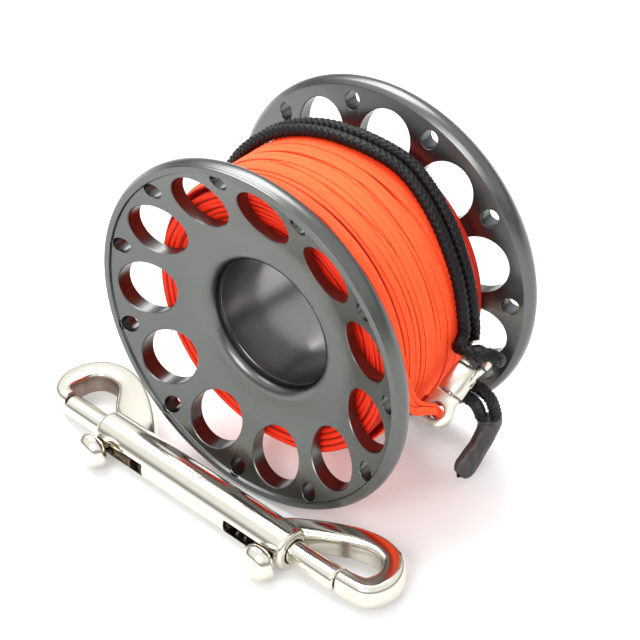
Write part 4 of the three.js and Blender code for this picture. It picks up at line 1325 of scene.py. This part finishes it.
class SPOOL_OT_bolt_snap(bpy.types.Operator):
    """Loose double-ended bolt snap: cast body, two bolts with thumb knobs and their springs"""

    bl_idname = "spool.bolt_snap"
    bl_label = "Bolt snap"

    def hook(self, side, root, reach, rise, nose, fill, bow):
        """Rings along one hook, from its root in the barrel round to its nose."""
        route = [(side * (root + (reach - root) * s), rise * t, 0) for s, t in HOOK_ROUTE]
        route.append((side * (nose + NOSE_LENGTH), 0, 0))
        centres = evenly(curve_through(route, 14)[0], SNAP_STATION)
        centres = np.concatenate([centres, [(side * (nose + 0.25), 0, 0), (side * nose, 0, 0)]])
        share = np.linspace(0, 1, len(centres))
        ease = lambda v: np.clip(v, 0, 1) ** 2 * (3 - 2 * np.clip(v, 0, 1))
        half = HOOK_WIDTH / 2
        root = ease((0.5 - share) / 0.22) * np.clip(share / 0.16, 0.2, 1)
        crown = ease((share - 0.25) / 0.2) * ease((0.97 - share) / 0.16)
        inner = 1 + np.maximum(fill * root, 0) / half + bow * crown * (1 - 0.6 * root) / half
        section = np.repeat(hook_section(HOOK_STEPS)[None], len(centres), axis=0)
        section[:, :, 0] *= side * np.where(section[:, :, 0] < 0, inner[:, None], 1.0)
        section[-1] *= 0.9
        return swept(centres, section, HOOK_WIDTH, HOOK_HEIGHT, {i: (0, 0, 1) for i in range(len(centres))})

    def body(self, material):
        """Barrel and hooks in one, with a bore and a thumb slot at each end."""
        r, end = SNAP_BARREL_RADIUS, SNAP_BARREL_END
        profile = rounded([(0.0, -end), (r, -end), (r, end), (0.0, end)], 1.5, 8)
        hooks = [lattice(self.hook(*values)) for values in HOOKS.values()]
        joined = carved(turned(profile, BARREL_STEPS, along=0), hooks, "UNION")
        bore, reach = SNAP_BOLT_RADIUS + CLEARANCE, THUMB_STEM_RADIUS + CLEARANCE
        tools = []
        for side in (-1, 1):
            tools.append(turned([(bore, side * x) for x in (BORE_FLOOR, BORE_END)], BOLT_STEPS, along=0))
            a, b = sorted((side * (THUMB_PLACE - SNAP_TRAVEL), side * THUMB_PLACE))
            k = SLOT_CORNER
            outline = []
            for x, z, start in (
                (b + reach - k, reach - k, 90), (b + reach - k, k - reach, 0),
                (a - reach + k, k - reach, 270), (a - reach + k, reach - k, 180),
            ):
                outline += arc((x, z), k, start, start - 90, 5)
            tools.append(lattice([np.array([(x, y, z) for x, z in outline]) for y in (-r - 2, -0.5)]))
        mesh = carved(joined, tools)
        points = np.array([v.co for v in mesh.vertices])
        normals = np.array([n.vector for n in mesh.vertex_normals])
        # Painted shade on the hook faces turned towards each opening
        x, y = HOOK_OPENING
        centre = np.stack([np.sign(points[:, 0]) * x, np.full(len(points), y)], axis=1) - points[:, :2]
        facing = (normals[:, :2] * centre).sum(axis=1) / np.maximum(np.linalg.norm(centre, axis=1), 0.1)
        inside = (np.abs(points[:, 0]) > end + 0.5) & (points[:, 1] > 0.5) & (np.abs(normals[:, 2]) < 0.6)
        painted_shade = np.where(inside, np.clip(facing * 2 - 0.6, 0, 1), 0)
        piece("snap_body_fine", mesh, SNAP, "snap", ["snap_body"], material, painted_shade=painted_shade)

    def execute(self, context):
        colours = context.scene.spool_colours
        material = polished_steel("snap steel", colours.steel, 0.14)
        # The spring wire's dark colour is painted shade
        wire = polished_steel("spring wire", colours.spring, 0.3)
        self.body(material)
        for word, (side, _, _, _, nose, _, _) in HOOKS.items():
            tip, r = nose - CLEARANCE, SNAP_BOLT_RADIUS
            rod = turned(rounded([(radius, side * x) for radius, x in (
                (0.0, BOLT_START), (r, BOLT_START), (r, 27.0), (r, 27.4), (r, tip - 0.5), (r - 0.5, tip),
                (0.0, tip),
            )], 0.3, 4), BOLT_STEPS, along=0)
            hole = turned([(THUMB_STEM_RADIUS + CLEARANCE, y) for y in THUMB_HOLE], PIN_HOLE_STEPS)
            hole = body_mesh("thumb hole", hole)
            hole.transform(Matrix.Translation((side * THUMB_PLACE, 0, 0)))
            bolt = carved(rod, [hole])
            # Painted shadow on the part of the bolt inside the barrel
            tail = [float(abs(v.co.x) < SHADOWED_BOLT_END) for v in bolt.vertices]
            piece(
                f"snap_bolt_{word}_fine", bolt, SNAP, f"bolt_{word}",
                [f"snap_bolt_{word}"], material, painted_shade=tail,
            )
            piece(
                f"snap_thumb_{word}_fine", turned(rounded(THUMB, 0.5, 5), THUMB_STEPS),
                SNAP @ Matrix.Translation((side * THUMB_PLACE, 0, 0)), f"bolt_{word}",
                [f"snap_thumb_{word}"], material, sharp=60.0,
            )
            self.spring(word, side, wire)
        return {"FINISHED"}

    def spring(self, word, side, material):
        """Spring behind a bolt, its ends straight along the axis for one wire diameter."""
        start, end = BORE_FLOOR + CLEARANCE, BOLT_START - CLEARANCE
        curl_start = start + 2 * SPRING_WIRE
        curl_length = end - 2 * SPRING_WIRE - curl_start
        steps = CURL_STEPS * SPRING_CURLS
        places = [(start, 0), (start + SPRING_WIRE / 2, 0), (start + SPRING_WIRE, 0)]
        places += [(curl_start + curl_length * i / steps, i) for i in range(6, steps - 5)]
        places += [(end - SPRING_WIRE, steps), (end - SPRING_WIRE / 2, steps), (end, steps)]
        centres, ups = [], {}
        for i, (s, step) in enumerate(places):
            turn = 2 * math.pi * step / CURL_STEPS
            ups[i] = (0, math.cos(turn), math.sin(turn))
            centres.append((side * s, SPRING_RADIUS * math.cos(turn), SPRING_RADIUS * math.sin(turn)))
        rings = swept(centres, circle(WIRE_STEPS), SPRING_WIRE, SPRING_WIRE, ups)
        obj = piece(
            f"snap_spring_{word}_fine", lattice(rings), SNAP, "snap",
            [f"snap_spring_{word}"], material, sharp=60.0,
        )
        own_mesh(obj)


# Stage, lights and camera
CAMERA_PLACE = (185.27, -208.14, 245.19)
CAMERA_RIGHT = (0.77711, 0.62937, 0.0)
CAMERA_DOWN = (0.37062, -0.45762, -0.80822)
CAMERA_LENS = 99.19
SENSOR_WIDTH = 36.0
# The floor, in metres: half its side, how much lower it lies, and from where to where its glow grows
FLOOR_REACH = 3
FLOOR_DROP = 0.00002
FLOOR_FADE = (0.15, 0.9)
FLOOR_SHADE = 0.7
FLOOR_GLOW = 0.2
# Height and level of the bands in the surround
SKY_BANDS = ((0.0, 1.0), (0.1, 1.0), (0.18, 0.3), (0.3, 0.3), (0.5, 1.0))
# Place and size of each lamp, and the place that both look at
KEY_LAMP = ((-0.25, 0.1, 0.6), (0.6, 0.45))
FILL_LAMP = ((0.15, -0.6, 0.5), (0.35, 0.3))
LAMP_TARGET = (0, 0, 0.03)


class SPOOL_OT_stage(bpy.types.Operator):
    """Pale floor, soft studio lights and the camera"""

    bl_idname = "spool.stage"
    bl_label = "Stage"

    def floor(self):
        """White to the camera and in reflections, more so far away; it takes the object's shadow."""
        f = Finish("pale floor", (FLOOR_SHADE,) * 3, 0.9)
        path = f.add("ShaderNodeLightPath").outputs
        seen = f.math("MAXIMUM", path["Is Camera Ray"], path["Is Glossy Ray"])
        seen = f.math("MAXIMUM", seen, path["Is Transmission Ray"])
        away = f.add("ShaderNodeVectorMath", {0: f.place()}, operation="LENGTH").outputs["Value"]
        f.put("Emission Color", (1, 1, 1, 1))
        f.link(f.times(seen, f.ramp(away, FLOOR_GLOW, 1.0, *FLOOR_FADE)), "Emission Strength")
        mesh = bpy.data.meshes.new("floor")
        corners = [(x * FLOOR_REACH, y * FLOOR_REACH, 0) for x, y in ((-1, -1), (1, -1), (1, 1), (-1, 1))]
        mesh.from_pydata(corners, [], [(0, 1, 2, 3)])
        mesh.materials.append(f.material)
        ground = placed("floor", mesh)
        ground.location.z = -FLOOR_DROP

    def world(self, strength):
        """A pale tent with a darker band, which gives the metal its contrast."""
        world = bpy.data.worlds.new("studio")
        bpy.context.scene.world = world
        world.use_nodes = True
        tree = world.node_tree
        background = tree.nodes["Background"]
        coords = tree.nodes.new("ShaderNodeTexCoord")
        split = tree.nodes.new("ShaderNodeSeparateXYZ")
        tree.links.new(coords.outputs["Generated"], split.inputs[0])
        tent = tree.nodes.new("ShaderNodeValToRGB")
        tree.links.new(split.outputs[2], tent.inputs[0])
        bands = tent.color_ramp.elements
        while len(bands) < len(SKY_BANDS):
            bands.new(0.5)
        for band, (height, level) in zip(bands, SKY_BANDS):
            band.position = height
            band.color = (level, level, level, 1)
        tree.links.new(tent.outputs[0], background.inputs["Color"])
        background.inputs["Strength"].default_value = strength

    def lamp(self, name, place, size, power):
        data = bpy.data.lights.new(name, "AREA")
        data.shape = "RECTANGLE"
        data.size, data.size_y = size
        data.energy = power
        lamp = placed(name, data)
        lamp.location = place
        lamp.rotation_euler = (Vector(LAMP_TARGET) - Vector(place)).to_track_quat("-Z", "Y").to_euler()

    def camera(self):
        view = bpy.data.cameras.new("camera")
        view.lens = CAMERA_LENS
        view.sensor_width = SENSOR_WIDTH
        view.clip_start, view.clip_end = 0.01, 20.0
        camera = placed("camera", view)
        right, down = Vector(CAMERA_RIGHT), Vector(CAMERA_DOWN)
        axes = Matrix((right, -down, right.cross(-down))).transposed().to_4x4()
        at = SPOOL @ (Vector(CAMERA_PLACE) - Vector((0, 0, RIM_RADIUS)))
        camera.matrix_world = Matrix.Translation(at) @ axes
        bpy.context.scene.camera = camera

    def execute(self, context):
        settings = context.scene.spool_stage
        self.floor()
        self.world(settings.world_strength)
        self.lamp("key", *KEY_LAMP, settings.key_power)
        self.lamp("fill", *FILL_LAMP, settings.fill_power)
        self.camera()
        context.scene.view_settings.view_transform = "Standard"
        return {"FINISHED"}


class SPOOL_PT_panel(bpy.types.Panel):
    """Lists the spool's pieces and settings"""

    bl_idname = "SPOOL_PT_panel"
    bl_label = "Finger spool"
    bl_space_type = "VIEW_3D"
    bl_region_type = "UI"
    bl_category = "Finger spool"

    def draw(self, context):
        layout = self.layout
        for operator in OPERATORS:
            layout.operator(operator.bl_idname)
        for group in (context.scene.spool_sizes, context.scene.spool_colours, context.scene.spool_stage):
            for name in group.__annotations__:
                layout.prop(group, name)


GROUPS = {"spool_sizes": SpoolSizes, "spool_colours": SpoolColours, "spool_stage": StageSettings}
OPERATORS = (
    SPOOL_OT_stage,
    SPOOL_OT_cord,
    SPOOL_OT_flanges,
    SPOOL_OT_hub_sleeve,
    SPOOL_OT_line_pack,
    SPOOL_OT_line_turns,
    SPOOL_OT_small_snap,
    SPOOL_OT_bolt_snap,
)


def register():
    for cls in (*GROUPS.values(), *OPERATORS, SPOOL_PT_panel):
        bpy.utils.register_class(cls)
    for name, cls in GROUPS.items():
        setattr(bpy.types.Scene, name, bpy.props.PointerProperty(type=cls))


def unregister():
    for name in GROUPS:
        delattr(bpy.types.Scene, name)
    for cls in (SPOOL_PT_panel, *reversed(OPERATORS), *reversed(GROUPS.values())):
        bpy.utils.unregister_class(cls)


def main():
    register()
    for operator in OPERATORS:
        group, name = operator.bl_idname.split(".")
        getattr(getattr(bpy.ops, group), name)()


if __name__ == "__main__":
    main()
